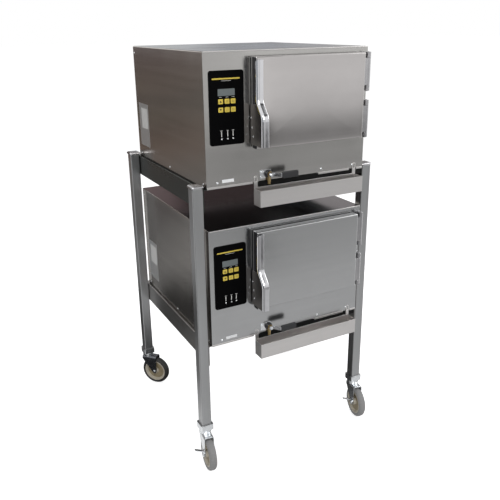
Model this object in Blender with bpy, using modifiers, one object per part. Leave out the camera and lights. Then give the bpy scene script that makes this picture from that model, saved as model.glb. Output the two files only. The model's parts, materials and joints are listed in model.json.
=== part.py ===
"""Two three-pan convection steamers, stacked on one stainless stand with casters.

Units are metres, +Z is up and the front faces -Y.  The origin is on the floor, under the middle
of the whole object.  Each steamer is modelled once, by build_cabinet, in its own frame: x from
its middle, y back from the face of its fascia and z up from its underside.
"""

import math

import bmesh
import bpy
from mathutils import Matrix, Vector

# Clearances, sheet thicknesses and how far a cutter runs past the face it opens
GAP = 0.0003
SHEET = 0.0012
FASCIA_SHEET = 0.0015
STAND_SHEET = 0.003
OVERRUN = 0.001

# Cabinet
CABINET_WIDTH = 0.724
CABINET_DEPTH = 0.767
CABINET_HEIGHT = 0.498
FASCIA_Y = -0.3535
UNDERSIDE_DROP = 0.006
CORNER_RADIUS = 0.004
FASCIA_FLANGE = 0.020
BASE_FLANGE = 0.020

# Cooking opening, by its margins on the fascia, and the cavity behind it
OPENING_MARGIN_LEFT = 0.249
OPENING_MARGIN_RIGHT = 0.103
OPENING_MARGIN_TOP = 0.054
OPENING_MARGIN_BOTTOM = 0.174
CAVITY_DEPTH = 0.600
CAVITY_WALL = 0.0015
CAVITY_RADIUS = 0.018
CAVITY_FLANGE = 0.012
HEATER_MARGIN = 0.046
HEATER_LENGTH = 0.400
HEATER_THICKNESS = 0.010
HEATER_FRONT = 0.120
HEATER_RADIUS = 0.004

# Notch in the fascia's lower lip, from near the drip tray's left end
NOTCH_FROM_TRAY = 0.022
NOTCH_WIDTH = 0.276
NOTCH_HEIGHT = 0.012

# Pan rack
PAN_COUNT = 3
PAN_FIRST = 0.060
PAN_HEADROOM = 0.050
RUNNER_FROM_WALL = 0.028
RUNNER_RADIUS = 0.003
RUNNER_BEND = 0.020
RACK_FRONT = 0.022
RACK_FROM_BACK = 0.038
UPRIGHT_SHARES = (0.05, 0.90)
UPRIGHT_OVERRUN = 0.012
STUD_SHARES = (0.25, 0.70)
STUD_RADIUS = 0.004

# Control panel
PANEL_FROM_LEFT = 0.020
PANEL_FROM_TOP = 0.067
PANEL_WIDTH = 0.140
PANEL_HEIGHT = 0.268
PANEL_THICKNESS = 0.0030
PANEL_RADIUS = 0.009
BEZEL_WIDTH = 0.005
BEZEL_RISE = 0.0012
DISPLAY_SIZE = (0.070, 0.026)
DISPLAY_OFFSET = (0.034, 0.178)
DISPLAY_SINK = 0.0006

# Door, from the fascia forwards: gasket, liner and outer pan
DOOR_SIDE_LAP = 0.061
DOOR_END_LAP = 0.032
GASKET_THICKNESS = 0.006
GASKET_WIDTH = 0.018
GASKET_INSET = 0.006
LINER_THICKNESS = 0.010
LINER_INSET = 0.003
LINER_RECESS = 0.004
LINER_BORDER = 0.034
DOOR_THICKNESS = 0.0455
DOOR_SHEET = 0.0012
DOOR_RADIUS = 0.005

# Door handle
HANDLE_WIDTH = 0.029
HANDLE_OVERHANG = 0.003
HANDLE_SHEET = 0.0027
HANDLE_TOP = 0.010
HANDLE_BEND = 0.160
GRIP_TOP = 0.210
GRIP_BOTTOM = 0.320
GRIP_STANDOFF = 0.0525
HANDLE_SIDE_TOP = 0.172
HANDLE_SIDE_BACK = 0.007
HANDLE_CHAMFER = 0.008

# Hinges
HINGE_INSET = 0.015
HINGE_STANDOFF = 0.025
HINGE_LENGTH = 0.150
HINGE_PITCH = 0.187
KNUCKLE_RADIUS = 0.010
KNUCKLE_LENGTH = 0.022
PIN_RADIUS = 0.004
PIN_CLEARANCE = 0.0004
PIN_STAND = 0.002
LEAF_THICKNESS = 0.003
LEAF_WIDTH = 0.031
LEAF_EDGE = 0.002

# Drain valve, under the left end of the door
VALVE_FROM_DOOR_EDGE = 0.075
VALVE_Z = 0.033
VALVE_RADIUS = 0.014
VALVE_LENGTH = 0.015
NIPPLE_RADIUS = 0.008
SPOUT_RADIUS = 0.0070
SPOUT_DROP = 0.040
VALVE_PLATE = (0.049, 0.034)
VALVE_PLATE_LEFT = 0.037
STEM_RADIUS = 0.0045
STEM_BORE_DEPTH = 0.008
STEM_TIP = 0.002
NUT_HEIGHT = 0.005
NUT_RADIUS = 0.0077
NUT_TURN = 10.0
LEVER_REACH = 0.107
LEVER_STRAP_WIDTH = 0.015
LEVER_STRAP_THICKNESS = 0.0025
LEVER_STANDOFF = 0.008
LEVER_CRANK = 0.004
SLEEVE_COVER = 0.006
SLEEVE_START = 0.034
SLEEVE_HEIGHT = 0.026
SLEEVE_THICKNESS = 0.008
SLEEVE_STANDOFF = 0.048
SLEEVE_RADIUS = 0.0025
DRAIN_PIPE_RADIUS = 0.009
DRAIN_PIPE_SETBACK = 0.030

# Drip tray, hung on two headed studs of the fascia
TRAY_START = 0.012
TRAY_END = 0.005
TRAY_DEPTH = 0.053
TRAY_HEIGHT = 0.065
TRAY_DROP = 0.019
TRAY_RADIUS = 0.0015
TAB_WIDTH = 0.016
TAB_TOP = 0.029
TAB_CHAMFER = 0.004
TRAY_STUD_Z = 0.022
TRAY_STUD_RADIUS = 0.0025
TRAY_STUD_HEAD = 0.0045
TRAY_STUD_HEAD_THICKNESS = 0.0016
TRAY_LIFT = 0.010

# Rear panel
VENT_COLUMNS = 5
VENT_ROWS = 2
VENT_SIZE = (0.050, 0.005)
VENT_COLUMN_PITCH = 0.090
VENT_FROM_UNDERSIDE = 0.100
VENT_FROM_TOP = 0.098
GLAND_RADIUS = 0.012
GLAND_LENGTH = 0.016
GLAND_FROM_SIDE = 0.072
GLAND_Z = 0.060

# Stand
STAND_SIDE_CLEARANCE = 0.0105
STAND_REAR_CLEARANCE = 0.026
STAND_SETBACK = 0.009
LEG_SIZE = 0.044
LEG_RADIUS = 0.005
LEG_WALL = 0.0015
CAP_STEPS = ((0.0015, 0.003), (0.005, 0.005))
LEG_BOTTOM = 0.201
LEG_ABOVE_UPPER_CABINET_BASE = 0.010
LOWER_CABINET_BASE = 0.570
CABINET_PITCH = 0.662
RAIL_HEIGHT = 0.089
RAIL_LEDGE = 0.044
RAIL_END_INSET = 0.003
CROSSMEMBER_HEIGHT = 0.060
CROSSMEMBER_LEDGE = 0.018
CROSSMEMBER_SETBACK = 0.003
SOCKET_SIZE = 0.056
SOCKET_HEIGHT = 0.026
SOCKET_RADIUS = 0.006

# Casters
WHEEL_RADIUS = 0.073
WHEEL_SIDES = 18
TYRE_WIDTH = 0.033
TYRE_DEPTH = 0.016
TYRE_SHOULDER = 0.008
RIM_WIDTH = 0.028
RIM_THICKNESS = 0.006
HUB_WIDTH = 0.034
HUB_RADIUS = 0.016
HUB_TAPER = 0.002
WEB_THICKNESS = 0.008
AXLE_RADIUS = 0.005
AXLE_CLEARANCE = 0.0004
AXLE_END = 0.004
CASTER_TRAIL = 0.042
FORK_SHEET = 0.003
FORK_SIDE_CLEARANCE = 0.002
FORK_TOP_CLEARANCE = 0.006
CHEEK_DROP = 0.012
SWIVEL_RADIUS = 0.027
SWIVEL_RACE = 0.009
RACE_TAPER = 0.003
KINGPIN_RADIUS = 0.008
KINGPIN_LENGTH = 0.014
AXLE_BOSS_RADIUS = 0.013
BRAKE_THICKNESS = 0.0045
BRAKE_REACH = 0.034
BRAKE_SPREAD = 0.026
BRAKE_TONGUE = 0.012
BRAKE_TONGUE_BOTTOM = 0.002
BRAKE_TONGUE_THICKNESS = 0.004
CASTER_HEADINGS = {
    "front_left": -7.0,
    "front_right": -10.0,
    "rear_left": 42.0,
    "rear_right": 21.0,
}
BRAKED = ("front_left", "front_right")

# Edges that fold by more than this many degrees are shaded sharp
SHARP_ANGLE = 32.0

# Values worked out from those above
HALF_WIDTH = CABINET_WIDTH / 2
INSIDE_HALF = HALF_WIDTH - SHEET - GAP
OPENING_WIDTH = CABINET_WIDTH - OPENING_MARGIN_LEFT - OPENING_MARGIN_RIGHT
OPENING_HEIGHT = CABINET_HEIGHT - OPENING_MARGIN_TOP - OPENING_MARGIN_BOTTOM
OPENING_X = HALF_WIDTH - OPENING_MARGIN_RIGHT - OPENING_WIDTH / 2
OPENING_Z = OPENING_MARGIN_BOTTOM + OPENING_HEIGHT / 2
HEATER_WIDTH = OPENING_WIDTH - 2 * HEATER_MARGIN
RUNNER_SPACING = OPENING_WIDTH - 2 * RUNNER_FROM_WALL
RACK_LENGTH = CAVITY_DEPTH - RACK_FRONT - RACK_FROM_BACK
PAN_PITCH = (OPENING_HEIGHT - PAN_FIRST - PAN_HEADROOM) / (PAN_COUNT - 1)
PANEL_LEFT = -HALF_WIDTH + PANEL_FROM_LEFT
PANEL_BOTTOM = CABINET_HEIGHT - PANEL_FROM_TOP - PANEL_HEIGHT
DOOR_WIDTH = OPENING_WIDTH + 2 * DOOR_SIDE_LAP
DOOR_HEIGHT = OPENING_HEIGHT + 2 * DOOR_END_LAP
DOOR_LEFT = OPENING_X - DOOR_WIDTH / 2
DOOR_RIGHT = OPENING_X + DOOR_WIDTH / 2
DOOR_TOP = OPENING_Z + DOOR_HEIGHT / 2
OPENING_BOTTOM = OPENING_Z - OPENING_HEIGHT / 2
HINGE_X = HALF_WIDTH - HINGE_INSET
VALVE_X = DOOR_LEFT + VALVE_FROM_DOOR_EDGE
TRAY_LEFT = DOOR_LEFT + TRAY_START
TRAY_WIDTH = DOOR_RIGHT + TRAY_END - TRAY_LEFT
NOTCH_LEFT = TRAY_LEFT + NOTCH_FROM_TRAY
VENT_ROW_PITCH = (CABINET_HEIGHT - VENT_FROM_TOP - VENT_FROM_UNDERSIDE) / (VENT_ROWS - 1)
STAND_WIDTH = CABINET_WIDTH + 2 * (LEG_SIZE + STAND_SIDE_CLEARANCE)
STAND_DEPTH = CABINET_DEPTH + STAND_REAR_CLEARANCE - STAND_SETBACK
LEG_X = STAND_WIDTH / 2 - LEG_SIZE / 2
LEG_FRONT_Y = FASCIA_Y + STAND_SETBACK + LEG_SIZE / 2
LEG_REAR_Y = LEG_FRONT_Y + STAND_DEPTH - LEG_SIZE
UPPER_CABINET_BASE = LOWER_CABINET_BASE + CABINET_PITCH
LEG_TOP = UPPER_CABINET_BASE + LEG_ABOVE_UPPER_CABINET_BASE
SOCKET_BOTTOM = LEG_BOTTOM - SOCKET_HEIGHT
CHEEK_INSIDE = TYRE_WIDTH / 2 + FORK_SIDE_CLEARANCE
CHEEK_OUTSIDE = CHEEK_INSIDE + FORK_SHEET


# Collections, materials and small builders


def clear_scene():
    for item in list(bpy.data.objects):
        bpy.data.objects.remove(item, do_unlink=True)
    for group in list(bpy.data.collections):
        bpy.data.collections.remove(group)


clear_scene()
PARTS = bpy.data.collections.new("convection_steamer")
CUTTERS = bpy.data.collections.new("cutters")
bpy.context.scene.collection.children.link(PARTS)
bpy.context.scene.collection.children.link(CUTTERS)


def make_material(name, colour, roughness, metallic):
    """A Principled material of one colour."""
    made = bpy.data.materials.new(name)
    made.use_nodes = True
    shader = made.node_tree.nodes["Principled BSDF"]
    shader.inputs["Base Color"].default_value = (*colour, 1.0)
    shader.inputs["Roughness"].default_value = roughness
    shader.inputs["Metallic"].default_value = metallic
    return made


STEEL = make_material("brushed_stainless", (0.52, 0.51, 0.49), 0.30, 1.0)
POLISHED = make_material("polished_stainless", (0.78, 0.78, 0.80), 0.12, 1.0)
STAND_STEEL = make_material("stand_stainless", (0.46, 0.47, 0.47), 0.42, 1.0)
ZINC = make_material("bright_zinc", (0.70, 0.73, 0.76), 0.25, 1.0)
BLACK_PANEL = make_material("black_membrane", (0.012, 0.012, 0.014), 0.35, 0.0)
RUBBER = make_material("grey_rubber", (0.05, 0.05, 0.055), 0.80, 0.0)
GASKET = make_material("black_gasket", (0.015, 0.015, 0.017), 0.70, 0.0)
RIM = make_material("beige_rim", (0.50, 0.44, 0.34), 0.50, 0.0)
BRASS = make_material("brass", (0.60, 0.44, 0.18), 0.35, 1.0)


def new_object(name, data, material=None, parent=None):
    """A part when it has a material, and otherwise a wire-drawn operand for a Boolean."""
    made = bpy.data.objects.new(name, data)
    if material:
        data.materials.append(material)
        PARTS.objects.link(made)
    else:
        CUTTERS.objects.link(made)
        made.hide_render = True
        made.display_type = "WIRE"
    made.parent = parent
    return made


def new_frame(name, location=(0, 0, 0), turn=0.0, parent=None):
    """An empty that carries pieces, turned about its own Z axis."""
    made = bpy.data.objects.new(name, None)
    PARTS.objects.link(made)
    made.location = location
    made.rotation_euler.z = math.radians(turn)
    made.parent = parent
    return made


def block(name, low, high, material=None, parent=None, bevel=0.0, segments=2):
    """A box between two corners, with its edges rounded when a bevel is given."""
    size = [b - a for a, b in zip(low, high)]
    middle = [(a + b) / 2 for a, b in zip(low, high)]
    shape = bmesh.new()
    bmesh.ops.create_cube(shape, size=1.0)
    bmesh.ops.scale(shape, vec=size, verts=shape.verts)
    data = bpy.data.meshes.new(name)
    shape.to_mesh(data)
    shape.free()
    made = new_object(name, data, material, parent)
    made.location = middle
    if bevel:
        edge = made.modifiers.new("rounded edges", "BEVEL")
        edge.width = bevel
        edge.segments = segments
    return made


PLANES = {
    "X": Matrix(((0, 0, 1), (1, 0, 0), (0, 1, 0))),
    "Y": Matrix(((1, 0, 0), (0, 0, -1), (0, 1, 0))),
    "Z": Matrix.Identity(3),
}


def plate(name, loops, normal, start, end, material=None, parent=None):
    """Closed outlines, the first outside and the rest holes, given thickness along one axis.

    The outlines are in (y, z) for a normal of X, (x, z) for Y and (x, y) for Z.
    """
    curve = bpy.data.curves.new(name, "CURVE")
    curve.dimensions = "2D"
    curve.fill_mode = "BOTH"
    curve.extrude = (end - start) / 2
    for loop in loops:
        spline = curve.splines.new("POLY")
        spline.points.add(len(loop) - 1)
        for point, (u, v) in zip(spline.points, loop):
            point.co = (u, v, 0.0, 1.0)
        spline.use_cyclic_u = True
    outline = bpy.data.objects.new(name + "_outline", curve)
    CUTTERS.objects.link(outline)
    seen = outline.evaluated_get(bpy.context.evaluated_depsgraph_get())
    data = bpy.data.meshes.new_from_object(seen)
    bpy.data.objects.remove(outline)
    bpy.data.curves.remove(curve)
    shape = bmesh.new()
    shape.from_mesh(data)
    bmesh.ops.remove_doubles(shape, verts=shape.verts, dist=0.00001)
    bmesh.ops.recalc_face_normals(shape, faces=shape.faces)
    shape.to_mesh(data)
    shape.free()
    made = new_object(name, data, material, parent)
    axis = Vector([1.0 if letter == normal else 0.0 for letter in "XYZ"])
    made.matrix_local = Matrix.Translation(axis * (start + end) / 2) @ PLANES[normal].to_4x4()
    return made


def rounded_rectangle(left, bottom, width, height, radius, steps=3):
    """Corner arcs of a rectangle, as points in order."""
    corners = (
        (left + width - radius, bottom + height - radius, 0),
        (left + radius, bottom + height - radius, 90),
        (left + radius, bottom + radius, 180),
        (left + width - radius, bottom + radius, 270),
    )
    points = []
    for u, v, first in corners:
        points += arc(u, v, radius, first, first + 90, steps)
    return points


def inset_rectangle(across, tall, inset, radius):
    """A rounded rectangle set in from both pairs of limits by the same distance."""
    width = across[1] - across[0] - 2 * inset
    height = tall[1] - tall[0] - 2 * inset
    return rounded_rectangle(across[0] + inset, tall[0] + inset, width, height, radius)


def slot(left, bottom, width, height):
    """A slot with round ends, as points in order."""
    radius = height / 2
    middle = bottom + radius
    right_end = arc(left + width - radius, middle, radius, -90, 90, 2)
    left_end = arc(left + radius, middle, radius, 90, 270, 2)
    return right_end + left_end


def arc(u, v, radius, first, last, steps):
    """Points along an arc between two angles in degrees."""
    turns = [math.radians(first + (last - first) * i / steps) for i in range(steps + 1)]
    return [(u + radius * math.cos(a), v + radius * math.sin(a)) for a in turns]


def thick_line(points, thickness):
    """The outline of a folded sheet, whose one face is a line of points and whose other lies left."""
    path = [Vector(p) for p in points]
    offset = []
    for i, here in enumerate(path):
        before = (here - path[i - 1]).normalized() if i else None
        after = (path[i + 1] - here).normalized() if i + 1 < len(path) else None
        before = before or after
        after = after or before
        left = Vector((-before.y - after.y, before.x + after.x)).normalized()
        reach = thickness / left.dot(Vector((-before.y, before.x)))
        offset.append(here + left * reach)
    return [tuple(p) for p in path] + [tuple(p) for p in reversed(offset)]


TURNS = {
    "X": (0.0, math.pi / 2, 0.0),
    "Y": (-math.pi / 2, 0.0, 0.0),
    "Z": (0.0, 0.0, 0.0),
}


def turned(name, profile, axis, centre, material=None, parent=None, steps=16, closed=False):
    """A turned shape: (radius, height) points from the top down its outer side."""
    data = bpy.data.meshes.new(name)
    edges = [(i, i + 1) for i in range(len(profile) - 1)]
    if closed:
        edges.append((len(profile) - 1, 0))
    data.from_pydata([(r, 0.0, h) for r, h in profile], edges, [])
    made = new_object(name, data, material, parent)
    made.location = centre
    made.rotation_euler = TURNS[axis]
    screw = made.modifiers.new("turning", "SCREW")
    screw.steps = steps
    screw.render_steps = steps
    screw.use_merge_vertices = True
    screw.merge_threshold = 0.00001
    screw.use_smooth_shade = False
    return made


def rod(name, radius, start, end, axis, centre, material=None, parent=None, steps=12):
    """A plain cylinder along an axis, from start to end along it."""
    profile = [(0.0, end), (radius, end), (radius, start), (0.0, start)]
    return turned(name, profile, axis, centre, material, parent, steps)


def wire(name, points, radius, parent=None):
    """A round wire through a line of points, as an operand for a union."""
    curve = bpy.data.curves.new(name, "CURVE")
    curve.dimensions = "3D"
    curve.bevel_depth = radius
    curve.bevel_resolution = 1
    curve.use_fill_caps = True
    spline = curve.splines.new("POLY")
    spline.points.add(len(points) - 1)
    for point, place in zip(spline.points, points):
        point.co = (*place, 1.0)
    line = bpy.data.objects.new(name + "_line", curve)
    CUTTERS.objects.link(line)
    seen = line.evaluated_get(bpy.context.evaluated_depsgraph_get())
    data = bpy.data.meshes.new_from_object(seen)
    bpy.data.objects.remove(line)
    bpy.data.curves.remove(curve)
    shape = bmesh.new()
    shape.from_mesh(data)
    bmesh.ops.remove_doubles(shape, verts=shape.verts, dist=0.00001)
    bmesh.ops.recalc_face_normals(shape, faces=shape.faces)
    shape.to_mesh(data)
    shape.free()
    return new_object(name, data, None, parent)


def shading_by_angle(limit):
    """A node group that shades smooth, apart from the edges that fold by more than the limit."""
    group = bpy.data.node_groups.new("shading by angle", "GeometryNodeTree")
    group.interface.new_socket("Geometry", in_out="INPUT", socket_type="NodeSocketGeometry")
    group.interface.new_socket("Geometry", in_out="OUTPUT", socket_type="NodeSocketGeometry")
    source = group.nodes.new("NodeGroupInput")
    smooth = group.nodes.new("GeometryNodeSetShadeSmooth")
    fold = group.nodes.new("GeometryNodeInputMeshEdgeAngle")
    folded = group.nodes.new("FunctionNodeCompare")
    folded.inputs[1].default_value = math.radians(limit)
    sharp = group.nodes.new("GeometryNodeSetShadeSmooth")
    sharp.domain = "EDGE"
    sharp.inputs["Shade Smooth"].default_value = False
    result = group.nodes.new("NodeGroupOutput")
    group.links.new(source.outputs[0], smooth.inputs["Geometry"])
    group.links.new(smooth.outputs[0], sharp.inputs["Geometry"])
    group.links.new(fold.outputs["Unsigned Angle"], folded.inputs[0])
    group.links.new(folded.outputs[0], sharp.inputs["Selection"])
    group.links.new(sharp.outputs[0], result.inputs[0])
    return group


def combine(piece, others, operation):
    """Adds one Boolean for each operand."""
    for other in others:
        step = piece.modifiers.new(other.name, "BOOLEAN")
        step.operation = operation
        step.solver = "EXACT"
        step.object = other
    return piece


def fuse(piece, *others):
    return combine(piece, others, "UNION")


def cut(piece, *others):
    return combine(piece, others, "DIFFERENCE")


# The cabinet's sheet metal


def build_casing_wrap(unit, frame):
    """Top and two sides folded from one sheet, open at the front, back and underside."""
    outside = (
        [(-HALF_WIDTH, UNDERSIDE_DROP)]
        + arc(-HALF_WIDTH + CORNER_RADIUS, CABINET_HEIGHT - CORNER_RADIUS, CORNER_RADIUS, 180, 90, 3)
        + arc(HALF_WIDTH - CORNER_RADIUS, CABINET_HEIGHT - CORNER_RADIUS, CORNER_RADIUS, 90, 0, 3)
        + [(HALF_WIDTH, UNDERSIDE_DROP)]
    )
    inner = CORNER_RADIUS - SHEET
    inside = (
        [(HALF_WIDTH - SHEET, UNDERSIDE_DROP)]
        + arc(HALF_WIDTH - CORNER_RADIUS, CABINET_HEIGHT - CORNER_RADIUS, inner, 0, 90, 3)
        + arc(-HALF_WIDTH + CORNER_RADIUS, CABINET_HEIGHT - CORNER_RADIUS, inner, 90, 180, 3)
        + [(-HALF_WIDTH + SHEET, UNDERSIDE_DROP)]
    )
    plate(unit + "_casing_wrap", [outside + inside], "Y", FASCIA_SHEET + GAP, CABINET_DEPTH, STEEL, frame)


def build_base_pan(unit, frame):
    """A shallow pan whose flanges stand inside the casing; it rests on the stand's rails."""
    front = FASCIA_SHEET + FASCIA_FLANGE + GAP
    back = CABINET_DEPTH - SHEET - GAP
    outer = (-INSIDE_HALF, front, 0.0), (INSIDE_HALF, back, BASE_FLANGE)
    pan = block(unit + "_base_pan", *outer, STEEL, frame)
    hollow = block(
        unit + "_base_pan_hollow",
        (-INSIDE_HALF + SHEET, front + SHEET, SHEET),
        (INSIDE_HALF - SHEET, back - SHEET, BASE_FLANGE + SHEET),
        parent=frame,
    )
    cut(pan, hollow)


def build_rear_panel(unit, frame):
    """The flat back between the sides, with two rows of vents and the supply cable's gland."""
    low = UNDERSIDE_DROP
    high = CABINET_HEIGHT - SHEET - GAP
    loops = [rounded_rectangle(-INSIDE_HALF, low, 2 * INSIDE_HALF, high - low, CORNER_RADIUS, 1)]
    for row in range(VENT_ROWS):
        for column in range(VENT_COLUMNS):
            x = (column - (VENT_COLUMNS - 1) / 2) * VENT_COLUMN_PITCH - VENT_SIZE[0] / 2
            z = VENT_FROM_UNDERSIDE + row * VENT_ROW_PITCH
            loops.append(slot(x, z, *VENT_SIZE))
    name = unit + "_rear_panel"
    panel = plate(name, loops, "Y", CABINET_DEPTH - SHEET, CABINET_DEPTH, STEEL, frame)
    profile = [
        (0.0, GLAND_LENGTH),
        (GLAND_RADIUS * 0.7, GLAND_LENGTH),
        (GLAND_RADIUS, GLAND_LENGTH * 0.6),
        (GLAND_RADIUS, -SHEET / 2),
        (0.0, -SHEET / 2),
    ]
    place = (HALF_WIDTH - GLAND_FROM_SIDE, CABINET_DEPTH, GLAND_Z)
    gland = turned(name + "_gland", profile, "Y", place, parent=frame, steps=16)
    fuse(panel, gland)


def tray_stud_places():
    """The middle of each hanging tab, along x."""
    return (TRAY_LEFT + TAB_WIDTH / 2, TRAY_LEFT + TRAY_WIDTH - TAB_WIDTH / 2)


def build_fascia(unit, frame):
    """The front sheet: cooking opening, notched lower lip, return flanges and the tray's studs."""
    low = UNDERSIDE_DROP
    face = [(-HALF_WIDTH, low), (HALF_WIDTH, low)]
    face += [(HALF_WIDTH, CABINET_HEIGHT), (-HALF_WIDTH, CABINET_HEIGHT)]
    opening = rounded_rectangle(
        OPENING_X - OPENING_WIDTH / 2, OPENING_BOTTOM, OPENING_WIDTH, OPENING_HEIGHT, CAVITY_RADIUS
    )
    nipple_hole = arc(VALVE_X, VALVE_Z, NIPPLE_RADIUS + 2 * GAP, 0, 324, 9)
    name = unit + "_fascia"
    loops = [face, opening, nipple_hole]
    fascia = plate(name, loops, "Y", 0.0, FASCIA_SHEET, STEEL, frame)
    ring_low = low + GAP
    ring_high = CABINET_HEIGHT - SHEET - GAP
    ring = [
        rounded_rectangle(-INSIDE_HALF, ring_low, 2 * INSIDE_HALF, ring_high - ring_low, CORNER_RADIUS, 1),
        rounded_rectangle(
            -INSIDE_HALF + SHEET,
            ring_low + SHEET,
            2 * (INSIDE_HALF - SHEET),
            ring_high - ring_low - 2 * SHEET,
            CORNER_RADIUS - SHEET,
            1,
        ),
    ]
    ends = (FASCIA_SHEET / 2, FASCIA_SHEET + FASCIA_FLANGE)
    flanges = plate(name + "_flanges", ring, "Y", *ends, parent=frame)
    notch = block(
        name + "_notch",
        (NOTCH_LEFT, -SHEET, 0.0),
        (NOTCH_LEFT + NOTCH_WIDTH, FASCIA_SHEET + 2 * FASCIA_FLANGE, low + NOTCH_HEIGHT),
        parent=frame,
    )
    fuse(fascia, flanges)
    cut(fascia, notch)
    for side, x in zip(("left", "right"), tray_stud_places()):
        neck = SHEET + 2 * GAP
        profile = [
            (0.0, neck + TRAY_STUD_HEAD_THICKNESS),
            (TRAY_STUD_HEAD, neck + TRAY_STUD_HEAD_THICKNESS),
            (TRAY_STUD_HEAD, neck),
            (TRAY_STUD_RADIUS, neck),
            (TRAY_STUD_RADIUS, -FASCIA_SHEET / 2),
            (0.0, -FASCIA_SHEET / 2),
        ]
        stud = turned(f"{name}_stud_{side}", profile, "Y", (x, 0.0, TRAY_STUD_Z), parent=frame, steps=8)
        stud.rotation_euler = (math.pi / 2, 0.0, 0.0)
        fuse(fascia, stud)


# The cooking compartment


def build_cavity(unit, frame):
    """The steam cavity: coved box open at the front, with flange, heater plate, drain and rack studs."""
    name = unit + "_steam_cavity"
    left = OPENING_X - OPENING_WIDTH / 2
    front = FASCIA_SHEET + GAP
    inner = rounded_rectangle(left, OPENING_BOTTOM, OPENING_WIDTH, OPENING_HEIGHT, CAVITY_RADIUS)
    outer = rounded_rectangle(
        left - CAVITY_WALL,
        OPENING_BOTTOM - CAVITY_WALL,
        OPENING_WIDTH + 2 * CAVITY_WALL,
        OPENING_HEIGHT + 2 * CAVITY_WALL,
        CAVITY_RADIUS + CAVITY_WALL,
    )
    flange = rounded_rectangle(
        left - CAVITY_FLANGE,
        OPENING_BOTTOM - CAVITY_FLANGE,
        OPENING_WIDTH + 2 * CAVITY_FLANGE,
        OPENING_HEIGHT + 2 * CAVITY_FLANGE,
        CAVITY_RADIUS + CAVITY_FLANGE,
    )
    back = front + CAVITY_DEPTH
    cavity = plate(name, [outer, inner], "Y", front, back, STEEL, frame)
    end = plate(name + "_end", [outer], "Y", back - CAVITY_WALL, back + CAVITY_WALL, parent=frame)
    rim = plate(name + "_rim", [flange, inner], "Y", front, front + CAVITY_WALL, parent=frame)
    heater_low = OPENING_BOTTOM - HEATER_THICKNESS
    heater = block(
        name + "_heater",
        (OPENING_X - HEATER_WIDTH / 2, HEATER_FRONT, heater_low),
        (OPENING_X + HEATER_WIDTH / 2, HEATER_FRONT + HEATER_LENGTH, OPENING_BOTTOM - CAVITY_WALL / 2),
        parent=frame,
        bevel=HEATER_RADIUS,
    )
    pipe = rod(
        name + "_drain_pipe",
        DRAIN_PIPE_RADIUS,
        VALVE_Z - DRAIN_PIPE_RADIUS,
        OPENING_BOTTOM - CAVITY_WALL / 2,
        "Z",
        (VALVE_X, DRAIN_PIPE_SETBACK, 0.0),
        parent=frame,
    )
    fuse(cavity, end, rim, heater, pipe)
    stud_z = rack_height(PAN_COUNT - 1) - RUNNER_RADIUS - GAP - STUD_RADIUS
    reach = (OPENING_WIDTH - RUNNER_SPACING) / 2 + RUNNER_RADIUS
    for number, y in enumerate(rack_stud_places()):
        for side in (-1, 1):
            wall = OPENING_X + side * (OPENING_WIDTH / 2 + CAVITY_WALL / 2)
            ends = sorted((0.0, -side * (reach + CAVITY_WALL / 2)))
            label = "left" if side < 0 else "right"
            stud_name = f"{name}_stud_{label}_{number}"
            fuse(cavity, rod(stud_name, STUD_RADIUS, *ends, "X", (wall, y, stud_z), parent=frame, steps=8))


def rack_height(level):
    """The middle of one runner's wire above the cabinet's underside."""
    return OPENING_BOTTOM + PAN_FIRST + level * PAN_PITCH


def rack_stud_places():
    """Two places along the cavity where the top runner lies on a stud."""
    first = FASCIA_SHEET + RACK_FRONT
    return [first + RACK_LENGTH * share for share in STUD_SHARES]


def build_pan_rack(unit, frame):
    """Three U-shaped wire runners joined by upright wires; the top one lies on the studs."""
    name = unit + "_pan_rack"
    half = RUNNER_SPACING / 2
    front = FASCIA_SHEET + RACK_FRONT
    back = front + RACK_LENGTH
    bend = RUNNER_BEND
    line = [(-half, front)]
    line += arc(-half + bend, back - bend, bend, 180, 90, 3)
    line += arc(half - bend, back - bend, bend, 90, 0, 3)
    line += [(half, front)]
    runners = []
    for level in range(PAN_COUNT):
        points = [(OPENING_X + x, y, rack_height(level)) for x, y in line]
        runners.append(wire(f"{name}_runner_{level}", points, RUNNER_RADIUS, frame))
    uprights = []
    for number, share in enumerate(UPRIGHT_SHARES):
        for side in (-1, 1):
            label = "left" if side < 0 else "right"
            x = OPENING_X + side * (half + RUNNER_RADIUS * 1.2)
            y = front + RACK_LENGTH * share
            low = rack_height(0) - UPRIGHT_OVERRUN
            high = rack_height(PAN_COUNT - 1) + UPRIGHT_OVERRUN
            ends = [(x, y, low), (x, y, high)]
            uprights.append(wire(f"{name}_upright_{label}_{number}", ends, RUNNER_RADIUS, frame))
    rack = new_object(name, runners[0].data.copy(), STEEL, frame)
    fuse(rack, *runners[1:], *uprights)
    bpy.data.objects.remove(runners[0])


# The control panel


def build_control_panel(unit, frame):
    """The membrane panel: a raised border round a flat face with a sunk display window."""
    name = unit + "_control_panel"
    outside = rounded_rectangle(PANEL_LEFT, PANEL_BOTTOM, PANEL_WIDTH, PANEL_HEIGHT, PANEL_RADIUS)
    inside = rounded_rectangle(
        PANEL_LEFT + BEZEL_WIDTH,
        PANEL_BOTTOM + BEZEL_WIDTH,
        PANEL_WIDTH - 2 * BEZEL_WIDTH,
        PANEL_HEIGHT - 2 * BEZEL_WIDTH,
        PANEL_RADIUS - BEZEL_WIDTH / 2,
    )
    front = -GAP - PANEL_THICKNESS
    panel = plate(name, [outside], "Y", front, -GAP, BLACK_PANEL, frame)
    face = plate(name + "_face", [inside], "Y", front - OVERRUN, front + BEZEL_RISE, parent=frame)
    x = PANEL_LEFT + DISPLAY_OFFSET[0]
    z = PANEL_BOTTOM + DISPLAY_OFFSET[1]
    display = block(
        name + "_display",
        (x, front - OVERRUN / 2, z),
        (x + DISPLAY_SIZE[0], front + BEZEL_RISE + DISPLAY_SINK, z + DISPLAY_SIZE[1]),
        parent=frame,
    )
    cut(panel, face, display)


# The door and its hinges


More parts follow.
